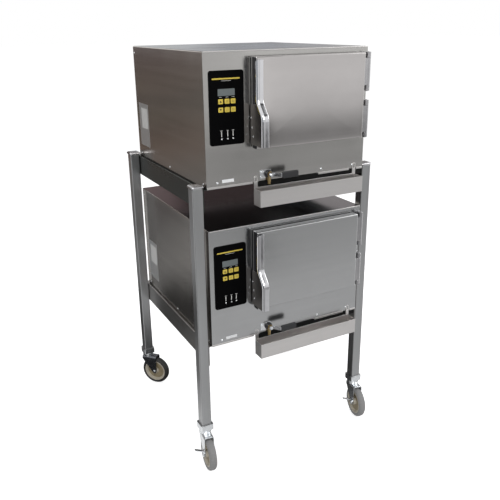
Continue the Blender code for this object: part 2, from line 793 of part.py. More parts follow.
def build_door(unit, frame):
    """Outer pan, liner, gasket and handle, in the door's own frame on its hinge axis."""
    door = new_frame(unit + "_door_frame", (HINGE_X, -HINGE_STANDOFF, 0.0), parent=frame)
    left = DOOR_LEFT - HINGE_X
    right = DOOR_RIGHT - HINGE_X
    bottom = DOOR_TOP - DOOR_HEIGHT
    front = HINGE_STANDOFF - DOOR_THICKNESS
    seam = HINGE_STANDOFF - GASKET_THICKNESS - LINER_THICKNESS
    build_outer_pan(unit, door, (left, right), (front, seam - GAP), (bottom, DOOR_TOP))
    build_liner(unit, door, (left, right), (seam, seam + LINER_THICKNESS), (bottom, DOOR_TOP))
    build_gasket(unit, door, left, bottom)
    build_handle(unit, door, left, front)
    for number, label in enumerate(("upper", "lower")):
        build_door_leaf(unit, door, label, DOOR_TOP - number * HINGE_PITCH, right)
        build_cabinet_leaf(unit, frame, label, DOOR_TOP - number * HINGE_PITCH)


def build_outer_pan(unit, door, across, depth, tall):
    """A pressed pan with rounded front edges, open at the back where the liner closes it."""
    name = unit + "_door_outer_pan"
    shape = bmesh.new()
    bmesh.ops.create_cube(shape, size=1.0)
    size = (across[1] - across[0], depth[1] - depth[0], tall[1] - tall[0])
    bmesh.ops.scale(shape, vec=size, verts=shape.verts)
    open_side = max(shape.faces, key=lambda face: face.calc_center_median().y)
    bmesh.ops.delete(shape, geom=[open_side], context="FACES")
    data = bpy.data.meshes.new(name)
    shape.to_mesh(data)
    shape.free()
    pan = new_object(name, data, STEEL, door)
    pan.location = [sum(pair) / 2 for pair in (across, depth, tall)]
    edge = pan.modifiers.new("pressed edges", "BEVEL")
    edge.width = DOOR_RADIUS
    edge.segments = 3
    wall = pan.modifiers.new("sheet", "SOLIDIFY")
    wall.thickness = DOOR_SHEET
    wall.offset = -1.0
    wall.use_even_offset = True


def build_liner(unit, door, across, depth, tall):
    """The door's inner face: a sheet pan, open towards the outer pan, with its middle pressed in."""
    name = unit + "_door_liner"
    low = (across[0] + LINER_INSET, depth[0], tall[0] + LINER_INSET)
    high = (across[1] - LINER_INSET, depth[1], tall[1] - LINER_INSET)
    liner = block(name, low, high, STEEL, door)
    recess = inset_rectangle(across, tall, LINER_BORDER, CAVITY_RADIUS)
    behind = inset_rectangle(across, tall, LINER_BORDER - DOOR_SHEET, CAVITY_RADIUS + DOOR_SHEET)
    rim = inset_rectangle(across, tall, LINER_INSET + DOOR_SHEET, DOOR_SHEET)
    ends = (depth[1] - LINER_RECESS, depth[1] + LINER_RECESS)
    pressed = plate(name + "_recess", [recess], "Y", *ends, parent=door)
    floor = depth[1] - LINER_RECESS - DOOR_SHEET
    hollow = plate(name + "_hollow", [rim], "Y", depth[0] - LINER_RECESS, floor, parent=door)
    ends = (floor - DOOR_SHEET, depth[1] - DOOR_SHEET)
    border = plate(name + "_border", [rim, behind], "Y", *ends, parent=door)
    cut(liner, pressed, hollow, border)


def build_gasket(unit, door, left, bottom):
    """The rubber frame that the closed door presses on the fascia, with rounded lips."""
    name = unit + "_door_gasket"
    start = HINGE_STANDOFF - GASKET_THICKNESS + GAP
    end = HINGE_STANDOFF - GAP
    outer = (left + GASKET_INSET, bottom + GASKET_INSET)
    size = (DOOR_WIDTH - 2 * GASKET_INSET, DOOR_HEIGHT - 2 * GASKET_INSET)
    outside = rounded_rectangle(*outer, *size, CAVITY_RADIUS)
    inside = rounded_rectangle(
        outer[0] + GASKET_WIDTH,
        outer[1] + GASKET_WIDTH,
        size[0] - 2 * GASKET_WIDTH,
        size[1] - 2 * GASKET_WIDTH,
        CAVITY_RADIUS / 2,
    )
    plate(name, [outside, inside], "Y", start, end, GASKET, door)


def build_handle(unit, door, left, front):
    """One folded sheet: a strap on the door's face that bends out to the grip, and a side plate."""
    name = unit + "_door_handle"
    back = front - GAP
    grip = front - GRIP_STANDOFF + HANDLE_SHEET
    path = [
        (back, DOOR_TOP - HANDLE_TOP),
        (back, DOOR_TOP - HANDLE_BEND),
        (grip, DOOR_TOP - GRIP_TOP),
        (grip, DOOR_TOP - GRIP_BOTTOM),
    ]
    strap_outline = thick_line(list(reversed(path)), HANDLE_SHEET)
    outer_left = left - HANDLE_OVERHANG
    handle = plate(name, [strap_outline], "X", outer_left, outer_left + HANDLE_WIDTH, POLISHED, door)
    side_outline = [
        (HINGE_STANDOFF - HANDLE_SIDE_BACK, DOOR_TOP - HANDLE_SIDE_TOP),
        (HINGE_STANDOFF - HANDLE_SIDE_BACK, DOOR_TOP - GRIP_BOTTOM),
        (grip - HANDLE_SHEET, DOOR_TOP - GRIP_BOTTOM),
        (grip - HANDLE_SHEET, DOOR_TOP - GRIP_TOP),
        (back - HANDLE_SHEET, DOOR_TOP - HANDLE_BEND - HANDLE_SHEET),
        (back - HANDLE_SHEET, DOOR_TOP - HANDLE_SIDE_TOP),
    ]
    side = plate(name + "_side", [side_outline], "X", outer_left, left - GAP, parent=door)
    fuse(handle, side)
    corner = block(
        name + "_corner",
        (-HANDLE_CHAMFER, -HANDLE_CHAMFER, -HANDLE_CHAMFER),
        (HANDLE_CHAMFER, HANDLE_CHAMFER, HANDLE_CHAMFER),
        parent=door,
    )
    corner.location = (outer_left, back, DOOR_TOP - HANDLE_TOP)
    corner.rotation_euler = (0.0, math.pi / 4, 0.0)
    cut(handle, corner)


def build_door_leaf(unit, door, label, top, right):
    """The moving half of a hinge: plate on the door's edge, neck, barrel and the pin it turns on."""
    name = f"{unit}_door_leaf_{label}"
    high = top - KNUCKLE_LENGTH - GAP
    low = top - HINGE_LENGTH + KNUCKLE_LENGTH + GAP
    barrel = rod(name, KNUCKLE_RADIUS, low, high, "Z", (0.0, 0.0, 0.0), ZINC, door, 12)
    front = HINGE_STANDOFF - DOOR_THICKNESS + DOOR_RADIUS
    back = HINGE_STANDOFF - GASKET_THICKNESS - LINER_THICKNESS
    side = block(
        name + "_plate", (right + GAP, front, low), (right + GAP + LEAF_THICKNESS, back, high), parent=door
    )
    neck = block(
        name + "_neck",
        (right + GAP + LEAF_THICKNESS / 2, -KNUCKLE_RADIUS * 0.8, low),
        (0.0, KNUCKLE_RADIUS * 0.6, high),
        parent=door,
    )
    pin = rod(
        name + "_pin",
        PIN_RADIUS,
        top - HINGE_LENGTH - PIN_STAND,
        top + PIN_STAND,
        "Z",
        (0.0, 0.0, 0.0),
        parent=door,
        steps=10,
    )
    fuse(barrel, side, neck, pin)


def build_cabinet_leaf(unit, frame, label, top):
    """The fixed half of a hinge: a plate on the fascia and the two knuckles that hold the pin."""
    name = f"{unit}_cabinet_leaf_{label}"
    low = top - HINGE_LENGTH
    right = HALF_WIDTH - LEAF_EDGE
    leaf = block(name, (right - LEAF_WIDTH, -GAP - LEAF_THICKNESS, low), (right, -GAP, top), ZINC, frame)
    spans = ((top - KNUCKLE_LENGTH, top), (low, low + KNUCKLE_LENGTH))
    centre = (HINGE_X, -HINGE_STANDOFF, 0.0)
    for number, (start, end) in enumerate(spans):
        web = block(
            f"{name}_web_{number}",
            (HINGE_X - KNUCKLE_RADIUS * 0.6, -HINGE_STANDOFF, start),
            (HINGE_X + KNUCKLE_RADIUS * 0.6, -GAP - LEAF_THICKNESS / 2, end),
            parent=frame,
        )
        knuckle_name = f"{name}_knuckle_{number}"
        knuckle = rod(knuckle_name, KNUCKLE_RADIUS, start, end, "Z", centre, parent=frame, steps=12)
        fuse(leaf, web, knuckle)
    bore_radius = PIN_RADIUS + PIN_CLEARANCE
    ends = (low - OVERRUN, top + OVERRUN)
    cut(leaf, rod(name + "_bore", bore_radius, *ends, "Z", centre, parent=frame, steps=10))


# The drain valve and the drip tray


def build_valve(unit, frame):
    """Brass body on a mounting plate, with its nipple through the fascia and a spout over the tray."""
    name = unit + "_drain_valve_body"
    front = -GAP - SHEET - VALVE_LENGTH
    nipple_end = DRAIN_PIPE_SETBACK - DRAIN_PIPE_RADIUS - GAP
    profile = [
        (0.0, nipple_end),
        (NIPPLE_RADIUS, nipple_end),
        (NIPPLE_RADIUS, -GAP - SHEET / 2),
        (VALVE_RADIUS * 0.8, -GAP - SHEET / 2),
        (VALVE_RADIUS, -GAP - SHEET - VALVE_LENGTH * 0.25),
        (VALVE_RADIUS, -GAP - SHEET - VALVE_LENGTH * 0.75),
        (VALVE_RADIUS * 0.85, front),
        (0.0, front),
    ]
    body = turned(name, profile, "Y", (VALVE_X, 0.0, VALVE_Z), BRASS, frame, 16)
    plate_left = VALVE_X - VALVE_PLATE_LEFT
    plate_low = VALVE_Z - VALVE_PLATE[1] / 2
    backing = block(
        name + "_plate",
        (plate_left, -GAP - SHEET, plate_low),
        (plate_left + VALVE_PLATE[0], -GAP, plate_low + VALVE_PLATE[1]),
        parent=frame,
    )
    spout_y = -GAP - SHEET - VALVE_LENGTH / 2
    spout_top = -STEM_RADIUS * 1.5
    spout_profile = [
        (0.0, spout_top),
        (SPOUT_RADIUS, spout_top),
        (SPOUT_RADIUS, -SPOUT_DROP * 0.72),
        (SPOUT_RADIUS * 0.82, -SPOUT_DROP * 0.74),
        (SPOUT_RADIUS * 0.82, -SPOUT_DROP),
        (0.0, -SPOUT_DROP),
    ]
    spout = turned(name + "_spout", spout_profile, "Z", (VALVE_X, spout_y, VALVE_Z), parent=frame, steps=12)
    mouth = rod(
        name + "_mouth",
        SPOUT_RADIUS * 0.55,
        -SPOUT_DROP - SHEET,
        -SPOUT_DROP * 0.6,
        "Z",
        (VALVE_X, spout_y, VALVE_Z),
        parent=frame,
        steps=8,
    )
    stem_bore = rod(
        name + "_stem_bore",
        STEM_RADIUS + GAP,
        front - SHEET,
        front + STEM_BORE_DEPTH + GAP,
        "Y",
        (VALVE_X, 0.0, VALVE_Z),
        parent=frame,
        steps=10,
    )
    fuse(body, backing, spout)
    cut(body, stem_bore, mouth)
    build_lever(unit, frame, front)


def build_lever(unit, frame, body_front):
    """The lever on its stem, in a frame on the stem's axis: cranked strap, nut and plastic sleeve."""
    name = unit + "_drain_valve_lever"
    pivot = new_frame(name + "_frame", (VALVE_X, 0.0, VALVE_Z), parent=frame)
    strap_back = body_front - LEVER_STANDOFF
    strap_front = strap_back - LEVER_STRAP_THICKNESS
    nut_front = strap_front - NUT_HEIGHT
    middle = (0.0, 0.0, 0.0)
    stem_ends = (nut_front - STEM_TIP, body_front + STEM_BORE_DEPTH)
    lever = rod(name, STEM_RADIUS, *stem_ends, "Y", middle, POLISHED, pivot, 10)
    nut_ends = (nut_front, strap_front + GAP)
    nut = rod(name + "_nut", NUT_RADIUS, *nut_ends, "Y", middle, parent=pivot, steps=6)
    nut.rotation_euler.y = math.radians(NUT_TURN)
    half = LEVER_STRAP_WIDTH / 2
    eye_ends = (strap_front - GAP, strap_back + GAP)
    eye = rod(name + "_eye", half, *eye_ends, "Y", middle, parent=pivot, steps=12)
    sleeve_back = -SLEEVE_STANDOFF
    inside_sleeve = sleeve_back - SLEEVE_THICKNESS / 2 + LEVER_STRAP_THICKNESS / 2
    path = [
        (0.0, strap_back),
        (half + LEVER_CRANK, strap_back),
        (SLEEVE_START - LEVER_CRANK, inside_sleeve),
        (LEVER_REACH - SLEEVE_COVER, inside_sleeve),
    ]
    outline = thick_line(list(reversed(path)), LEVER_STRAP_THICKNESS)
    strap = plate(name + "_strap", [outline], "Z", -half, half, parent=pivot)
    sleeve = block(
        name + "_sleeve",
        (SLEEVE_START, sleeve_back - SLEEVE_THICKNESS, -SLEEVE_HEIGHT / 2),
        (LEVER_REACH, sleeve_back, SLEEVE_HEIGHT / 2),
        parent=pivot,
        bevel=SLEEVE_RADIUS,
    )
    fuse(lever, nut, eye, strap, sleeve)


def build_drip_tray(unit, frame):
    """An open trough below the fascia; two keyhole tabs hang it on the studs, and it lifts off."""
    name = unit + "_drip_tray"
    right = TRAY_LEFT + TRAY_WIDTH
    front = -GAP - TRAY_DEPTH
    low = -TRAY_DROP - TRAY_HEIGHT
    tray = block(name, (TRAY_LEFT, front, low), (right, -GAP, -TRAY_DROP), STEEL, frame)
    hollow = block(
        name + "_hollow",
        (TRAY_LEFT + SHEET, front + SHEET, low + SHEET),
        (right - SHEET, -GAP - SHEET, -TRAY_DROP + SHEET),
        parent=frame,
        bevel=TRAY_RADIUS,
        segments=1,
    )
    cut(tray, hollow)
    for label, x in zip(("left", "right"), tray_stud_places()):
        half = TAB_WIDTH / 2
        outline = [(x - half, -TRAY_DROP - SHEET), (x + half, -TRAY_DROP - SHEET)]
        outline += [(x + half, TAB_TOP - TAB_CHAMFER), (x + half - TAB_CHAMFER, TAB_TOP)]
        outline += [(x - half + TAB_CHAMFER, TAB_TOP), (x - half, TAB_TOP - TAB_CHAMFER)]
        narrow = TRAY_STUD_RADIUS + 2 * GAP
        wide = TRAY_STUD_HEAD + 2 * GAP
        turn = math.degrees(math.asin(narrow / wide))
        keyhole = arc(x, TRAY_STUD_Z, narrow, 0, 180, 4)
        keyhole += arc(x, TRAY_STUD_Z - TRAY_LIFT, wide, 90 + turn, 450 - turn, 10)
        tab = plate(f"{name}_tab_{label}", [outline, keyhole], "Y", -GAP - SHEET, -GAP, parent=frame)
        fuse(tray, tab)


# The stand


def build_leg(label, side, y):
    """A square tube leg with a domed cap, and the caster's socket under it, bored for the kingpin."""
    name = "leg_" + label
    x = side * LEG_X
    half = LEG_SIZE / 2
    outline = rounded_rectangle(-half, -half, LEG_SIZE, LEG_SIZE, LEG_RADIUS, 2)
    frame = new_frame(name + "_frame", (x, y, 0.0))
    shoulder = LEG_TOP - CAP_STEPS[-1][1]
    leg = plate(name, [outline], "Z", SOCKET_BOTTOM + SOCKET_HEIGHT / 2, shoulder, STAND_STEEL, frame)
    for step, (shrink, rise) in enumerate(CAP_STEPS):
        size = LEG_SIZE - 2 * shrink
        cap_outline = rounded_rectangle(-size / 2, -size / 2, size, size, LEG_RADIUS, 2)
        cap_ends = (shoulder - LEG_RADIUS, shoulder + rise)
        fuse(leg, plate(f"{name}_cap_{step}", [cap_outline], "Z", *cap_ends, parent=frame))
    wide = SOCKET_SIZE / 2
    socket_outline = rounded_rectangle(-wide, -wide, SOCKET_SIZE, SOCKET_SIZE, SOCKET_RADIUS, 2)
    socket = plate(name + "_socket", [socket_outline], "Z", SOCKET_BOTTOM, LEG_BOTTOM, parent=frame)
    bore = rod(
        name + "_bore",
        KINGPIN_RADIUS + GAP,
        SOCKET_BOTTOM - OVERRUN,
        SOCKET_BOTTOM + KINGPIN_LENGTH + GAP,
        "Z",
        (0, 0, 0),
        parent=frame,
    )
    inside = half - LEG_WALL
    low = SOCKET_BOTTOM + KINGPIN_LENGTH - LEG_WALL
    high = shoulder - LEG_RADIUS - LEG_WALL
    hollow = block(name + "_hollow", (-inside, -inside, low), (inside, inside, high), parent=frame)
    fuse(leg, socket)
    cut(leg, hollow, bore)


def build_rail(level, label, side, base):
    """An angle between front and rear leg, whose ledge carries the cabinet's base pan."""
    outer = side * (STAND_WIDTH / 2 - LEG_SIZE - GAP)
    top = base - GAP
    t = side * STAND_SHEET
    outline = [
        (outer, top),
        (outer, top - RAIL_HEIGHT),
        (outer - t, top - RAIL_HEIGHT),
        (outer - t, top - STAND_SHEET),
        (outer - side * RAIL_LEDGE, top - STAND_SHEET),
        (outer - side * RAIL_LEDGE, top),
    ]
    front = LEG_FRONT_Y - LEG_SIZE / 2 + RAIL_END_INSET
    back = LEG_REAR_Y + LEG_SIZE / 2 - RAIL_END_INSET
    plate(f"rail_{level}_{label}", [outline], "Y", front, back, STAND_STEEL)


def build_crossmember(level, base):
    """An angle across the back, under the rails' ledges and behind the cabinet."""
    half = STAND_WIDTH / 2 - LEG_SIZE - 2 * GAP - STAND_SHEET
    top = base - STAND_SHEET - 2 * GAP
    back = LEG_REAR_Y + LEG_SIZE / 2 - RAIL_END_INSET - CROSSMEMBER_SETBACK
    outline = [
        (back, top),
        (back - CROSSMEMBER_LEDGE, top),
        (back - CROSSMEMBER_LEDGE, top - STAND_SHEET),
        (back - STAND_SHEET, top - STAND_SHEET),
        (back - STAND_SHEET, top - CROSSMEMBER_HEIGHT),
        (back, top - CROSSMEMBER_HEIGHT),
    ]
    plate("rear_crossmember_" + level, [outline], "X", -half, half, STAND_STEEL)


# The casters


def build_caster(label, x, y):
    """Fork on its swivel axis, and a wheel of hub and tyre on the axle; two have a brake lever."""
    swivel = new_frame(f"caster_{label}_swivel", (x, y, 0.0), CASTER_HEADINGS[label])
    axle = new_frame(f"caster_{label}_axle", (0.0, -CASTER_TRAIL, WHEEL_RADIUS), parent=swivel)
    braked = label in BRAKED
    build_fork(f"caster_{label}_fork", swivel, braked)
    build_wheel(f"caster_{label}", axle)
    if braked:
        build_brake(f"caster_{label}_brake_lever", axle)


def build_fork(name, swivel, braked):
    """A pressed fork: swivel head, bridge, two cheeks and the axle bolt across them."""
    bridge_low = 2 * WHEEL_RADIUS + FORK_TOP_CLEARANCE
    bridge_high = bridge_low + 2 * FORK_SHEET
    head_top = SOCKET_BOTTOM - GAP
    profile = [
        (0.0, head_top + KINGPIN_LENGTH),
        (KINGPIN_RADIUS, head_top + KINGPIN_LENGTH),
        (KINGPIN_RADIUS, head_top),
        (SWIVEL_RADIUS, head_top),
        (SWIVEL_RADIUS, head_top - SWIVEL_RACE),
        (SWIVEL_RADIUS - RACE_TAPER, head_top - SWIVEL_RACE - RACE_TAPER),
        (SWIVEL_RADIUS - RACE_TAPER, bridge_low + FORK_SHEET),
        (0.0, bridge_low + FORK_SHEET),
    ]
    fork = turned(name, profile, "Z", (0, 0, 0), ZINC, swivel, 14)
    back = SWIVEL_RADIUS - RACE_TAPER
    bridge = block(
        name + "_bridge",
        (-CHEEK_OUTSIDE, -CASTER_TRAIL - AXLE_BOSS_RADIUS, bridge_low),
        (CHEEK_OUTSIDE, back, bridge_high),
        parent=swivel,
    )
    cheek_top = bridge_high - FORK_SHEET
    cheek = [(back, cheek_top), (-CASTER_TRAIL - AXLE_BOSS_RADIUS, cheek_top)]
    cheek += arc(-CASTER_TRAIL, WHEEL_RADIUS, AXLE_BOSS_RADIUS, 180, 320, 5)
    cheek += [(back, bridge_low - CHEEK_DROP)]
    for side, start in (("left", -CHEEK_OUTSIDE), ("right", CHEEK_INSIDE)):
        ends = (start, start + FORK_SHEET)
        fuse(fork, plate(f"{name}_cheek_{side}", [cheek], "X", *ends, parent=swivel))
    right_end = CHEEK_OUTSIDE + AXLE_END
    left_end = right_end + (BRAKE_THICKNESS if braked else 0.0)
    axle = rod(
        name + "_axle",
        AXLE_RADIUS,
        -left_end,
        right_end,
        "X",
        (0.0, -CASTER_TRAIL, WHEEL_RADIUS),
        parent=swivel,
        steps=12,
    )
    fuse(fork, bridge, axle)


def build_wheel(name, axle):
    """A moulded rim on its hub, and the tyre round it, with a flat of the tread on the floor."""
    inner = WHEEL_RADIUS - TYRE_DEPTH
    bore = AXLE_RADIUS + AXLE_CLEARANCE
    rim_profile = [
        (bore, HUB_WIDTH / 2),
        (HUB_RADIUS, HUB_WIDTH / 2),
        (HUB_RADIUS + HUB_TAPER, WEB_THICKNESS / 2),
        (inner - RIM_THICKNESS * 1.5, WEB_THICKNESS / 2),
        (inner - RIM_THICKNESS, RIM_WIDTH / 2),
        (inner, RIM_WIDTH / 2),
        (inner, -RIM_WIDTH / 2),
        (inner - RIM_THICKNESS, -RIM_WIDTH / 2),
        (inner - RIM_THICKNESS * 1.5, -WEB_THICKNESS / 2),
        (HUB_RADIUS + HUB_TAPER, -WEB_THICKNESS / 2),
        (HUB_RADIUS, -HUB_WIDTH / 2),
        (bore, -HUB_WIDTH / 2),
    ]
    half_side = math.pi / WHEEL_SIDES
    circumscribed = 1 / math.cos(half_side)
    hub = turned(name + "_wheel_hub", rim_profile, "X", (0, 0, 0), RIM, axle, WHEEL_SIDES, closed=True)
    tread = WHEEL_RADIUS * circumscribed
    seat = inner + GAP / math.cos(half_side)
    half = TYRE_WIDTH / 2
    tyre_profile = [
        (seat, RIM_WIDTH / 2),
        (tread - TYRE_SHOULDER, half),
        (tread - TYRE_SHOULDER * 0.25, half - TYRE_SHOULDER * 0.6),
        (tread, half - TYRE_SHOULDER),
        (tread, -half + TYRE_SHOULDER),
        (tread - TYRE_SHOULDER * 0.25, -half + TYRE_SHOULDER * 0.6),
        (tread - TYRE_SHOULDER, -half),
        (seat, -RIM_WIDTH / 2),
    ]
    tyre = turned(name + "_tyre", tyre_profile, "X", (0, 0, 0), RUBBER, axle, WHEEL_SIDES, closed=True)
    for piece in (hub, tyre):
        piece.rotation_mode = "ZYX"
        piece.rotation_euler = (0.0, math.pi / 2, half_side)


def build_brake(name, axle):
    """A side lever on the axle's left end: a round boss and a tongue that stands out for the foot."""
    inside = -CHEEK_OUTSIDE - GAP
    outside = inside - BRAKE_THICKNESS
    lever = rod(name, AXLE_BOSS_RADIUS, outside, inside, "X", (0, 0, 0), ZINC, axle, 12)
    tongue_outline = [
        (inside, 0.0),
        (outside, 0.0),
        (outside, BRAKE_TONGUE),
        (outside - BRAKE_SPREAD, BRAKE_REACH - BRAKE_TONGUE / 2),
        (outside - BRAKE_SPREAD, BRAKE_REACH + BRAKE_TONGUE / 2),
        (inside, BRAKE_TONGUE * 1.8),
    ]
    bottom = BRAKE_TONGUE_BOTTOM
    top = bottom + BRAKE_TONGUE_THICKNESS
    tongue = plate(name + "_tongue", [tongue_outline], "Z", bottom, top, parent=axle)
    fuse(lever, tongue)
    bore_radius = AXLE_RADIUS + AXLE_CLEARANCE
    ends = (outside - OVERRUN, inside + OVERRUN)
    cut(lever, rod(name + "_bore", bore_radius, *ends, "X", (0, 0, 0), parent=axle, steps=12))


# Assembly


def build_cabinet(unit, base):
    """One steamer, on the rails at the given height."""
    frame = new_frame(unit + "_cabinet_frame", (0.0, FASCIA_Y, base))
    build_casing_wrap(unit, frame)
    build_base_pan(unit, frame)
    build_rear_panel(unit, frame)
    build_fascia(unit, frame)
    build_cavity(unit, frame)
    build_pan_rack(unit, frame)
    build_control_panel(unit, frame)
    build_door(unit, frame)
    build_valve(unit, frame)
    build_drip_tray(unit, frame)


def build_stand():
    """Four legs, two pairs of rails, two crossmembers and four casters."""
    for depth, y in (("front", LEG_FRONT_Y), ("rear", LEG_REAR_Y)):
        for width, side in (("left", -1), ("right", 1)):
            build_leg(f"{depth}_{width}", side, y)
            build_caster(f"{depth}_{width}", side * LEG_X, y)
    for level, base in (("lower", LOWER_CABINET_BASE), ("upper", UPPER_CABINET_BASE)):
        for width, side in (("left", -1), ("right", 1)):
            build_rail(level, width, side, base)
        build_crossmember(level, base)


build_stand()
for unit, base in (("lower", LOWER_CABINET_BASE), ("upper", UPPER_CABINET_BASE)):
    build_cabinet(unit, base)

shading = shading_by_angle(SHARP_ANGLE)
for piece in PARTS.objects:
    if piece.type == "MESH":
        piece.modifiers.new("shading", "NODES").node_group = shading
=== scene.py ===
# %% [markdown]
# # Two steamers on a stand
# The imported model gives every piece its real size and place. This script loads it as a fixed
# frame and gives the object its looks: finer skins, small parts, finishes, light and a camera.

import json
import math

import bmesh
import bpy
import numpy as np
from mathutils import Matrix, Vector

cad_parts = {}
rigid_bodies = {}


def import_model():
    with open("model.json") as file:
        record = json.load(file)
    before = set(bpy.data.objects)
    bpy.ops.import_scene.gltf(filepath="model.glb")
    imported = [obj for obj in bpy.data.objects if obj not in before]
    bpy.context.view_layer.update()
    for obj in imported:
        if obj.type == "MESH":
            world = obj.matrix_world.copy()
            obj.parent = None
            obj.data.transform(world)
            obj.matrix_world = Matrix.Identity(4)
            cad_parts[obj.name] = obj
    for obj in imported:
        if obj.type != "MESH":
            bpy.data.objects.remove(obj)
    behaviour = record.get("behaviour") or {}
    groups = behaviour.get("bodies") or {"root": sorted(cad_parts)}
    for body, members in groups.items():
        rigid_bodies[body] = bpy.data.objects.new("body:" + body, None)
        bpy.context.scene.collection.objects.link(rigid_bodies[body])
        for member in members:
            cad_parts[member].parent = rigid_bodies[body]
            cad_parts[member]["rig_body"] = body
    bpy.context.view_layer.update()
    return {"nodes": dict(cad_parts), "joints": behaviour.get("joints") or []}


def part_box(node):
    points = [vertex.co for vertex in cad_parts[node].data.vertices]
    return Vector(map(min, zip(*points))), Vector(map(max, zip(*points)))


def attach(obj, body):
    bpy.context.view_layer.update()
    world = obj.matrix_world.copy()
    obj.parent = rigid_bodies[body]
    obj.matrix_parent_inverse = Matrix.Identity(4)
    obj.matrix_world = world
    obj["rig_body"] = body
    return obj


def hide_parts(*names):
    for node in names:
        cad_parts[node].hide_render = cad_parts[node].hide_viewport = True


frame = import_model()
NODES = frame["nodes"]
JOINTS = {joint["name"]: joint for joint in frame["joints"]}
UNITS = ("lower", "upper")
CORNERS = ("front_left", "front_right", "rear_left", "rear_right")

# %% [markdown]
# ## Planes to work from
# Both cabinets share one fascia plane. Heights are counted up from each cabinet's underside, and
# places across from its middle, as on a shop drawing. Everything here is read from the frame.

# %% Reference planes
GAP = 0.0003
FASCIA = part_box("upper_cabinet_leaf_upper")[1].y + GAP
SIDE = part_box("upper_casing_wrap")[1].x
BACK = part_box("upper_rear_panel")[1].y
BASE = {unit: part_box(unit + "_base_pan")[0].z for unit in UNITS}
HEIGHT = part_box("upper_casing_wrap")[1].z - BASE["upper"]
print("fascia at y", round(FASCIA, 4), "cabinet height", round(HEIGHT, 4))

# %% [markdown]
# ## Shapes as grids of points
# A made part is nearly always a profile carried along something. Each helper below returns a grid
# (rows, columns, 3) of points, worked out as whole arrays, and `skin` turns grids into a mesh.


# %% Outlines
def rounded_outline(width, height, radius, inset=0.0, steps=6):
    """Points round a rounded rectangle, counter-clockwise.

    Each corner is a quarter arc of r = radius - inset about (w/2 - inset - r, h/2 - inset - r),
    mirrored to the four corners.
    """
    r = max(radius - inset, 0.0002)
    turns = np.linspace(0, math.pi / 2, steps + 1)
    first = np.array([0, 1, 2, 3])[:, None] * math.pi / 2
    sign_x = np.array([1, -1, -1, 1])[:, None]
    sign_y = np.array([1, 1, -1, -1])[:, None]
    x = sign_x * (width / 2 - inset - r) + r * np.cos(first + turns)
    y = sign_y * (height / 2 - inset - r) + r * np.sin(first + turns)
    return np.stack([x.ravel(), y.ravel()], axis=1)


def filleted(points, radius, steps=6):
    """A line of 2D points whose corners are quadratic arcs, from `radius` before each to after it."""
    points = np.array(points, float)
    line = [points[0][None]]
    t = np.linspace(0, 1, steps + 1)[:, None]
    for before, here, after in zip(points, points[1:], points[2:]):
        start = here + (before - here) / np.linalg.norm(before - here) * radius
        end = here + (after - here) / np.linalg.norm(after - here) * radius
        line.append((1 - t) ** 2 * start + 2 * t * (1 - t) * here + t**2 * end)
    line.append(points[-1][None])
    return np.concatenate(line)


# %% Grids
def level(outline, height):
    """An outline of (x, y) points at one height h."""
    return np.column_stack([outline, np.full(len(outline), height)])


def pad(width, height, radius, thickness, roll, crown=0.0, rings=1, steps=6, groove=()):
    """A plate standing on h = 0: its wall, its rolled edge and its crowned face.

    At the angle t of the roll the outline is inset by roll (1 - cos t) and lies at
    h = thickness - roll + roll sin t.  The face rises by crown (1 - s^2), s from 1 at its rim to 0.
    A groove is given as (h, inset) corners, and runs round the wall.
    """
    rows = [level(rounded_outline(width, height, radius, 0.0, steps), 0.0)]
    rows += [level(rounded_outline(width, height, radius, inset, steps), h) for h, inset in groove]
    for t in np.linspace(0, math.pi / 2, 4):
        inset = roll * (1 - math.cos(t))
        top = thickness - roll + roll * math.sin(t)
        rows.append(level(rounded_outline(width, height, radius, inset, steps), top))
    rim = rounded_outline(width, height, radius, roll, steps)
    for s in np.linspace(1, 0, rings + 1)[1:-1]:
        rows.append(level(rim * s, thickness + crown * (1 - s * s)))
    return np.array(rows)


def turned(profile, sides=48):
    """A profile of (radius, h) points carried round the h axis: x = r cos a, y = r sin a."""
    profile = np.array(profile, float)
    a = np.linspace(0, 2 * math.pi, sides, endpoint=False)
    x = profile[:, :1] * np.cos(a)
    y = profile[:, :1] * np.sin(a)
    return np.stack([x, y, np.broadcast_to(profile[:, 1:], x.shape)], axis=2)


def placed(grid, origin, across=(1, 0, 0), up=(0, 0, 1)):
    """Local (x, y, h) to the frame: x runs along `across`, y along `up` and h along across x up."""
    axes = np.array([across, up, np.cross(across, up)], float)
    return np.array(origin, float) + grid @ axes


FRONT = ((1, 0, 0), (0, 0, 1))
LEFT = ((0, -1, 0), (0, 0, 1))
RIGHT = ((0, 1, 0), (0, 0, 1))
REAR = ((-1, 0, 0), (0, 0, 1))
UPRIGHT = ((1, 0, 0), (0, 1, 0))


# %% [markdown]
# ## From grids to objects
# A grid becomes quads between neighbouring rows and columns. The first and last rows are closed by
# a face, unless the rows run round a ring. Weighted normals keep flat faces flat beside soft edges.


# %% Skins
def add_piece(name, data, material, body, angle=35.0):
    """Shades a mesh by angle, links it, and rides it on its body."""
    data.shade_smooth()
    data.set_sharp_from_angle(angle=math.radians(angle))
    data.materials.append(material)
    piece = bpy.data.objects.new(name, data)
    bpy.context.scene.collection.objects.link(piece)
    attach(piece, body)
    return piece


def even_normals(piece):
    """Large flat faces keep their own normal beside small rounded ones."""
    weighted = piece.modifiers.new("even normals", "WEIGHTED_NORMAL")
    weighted.keep_sharp = True
    weighted.weight = 100


def bevelled(piece, width, angle=40.0, segments=2):
    """A Bevel on the edges that turn by more than an angle."""
    rounding = piece.modifiers.new("rounded edges", "BEVEL")
    rounding.width = width
    rounding.segments = segments
    rounding.angle_limit = math.radians(angle)
    return rounding


def values_of(items, label):
    """A vector for each face or vertex: the center or normal of a face, or the co of a vertex."""
    values = np.empty(len(items) * 3)
    items.foreach_get(label, values)
    return values.reshape(-1, 3)


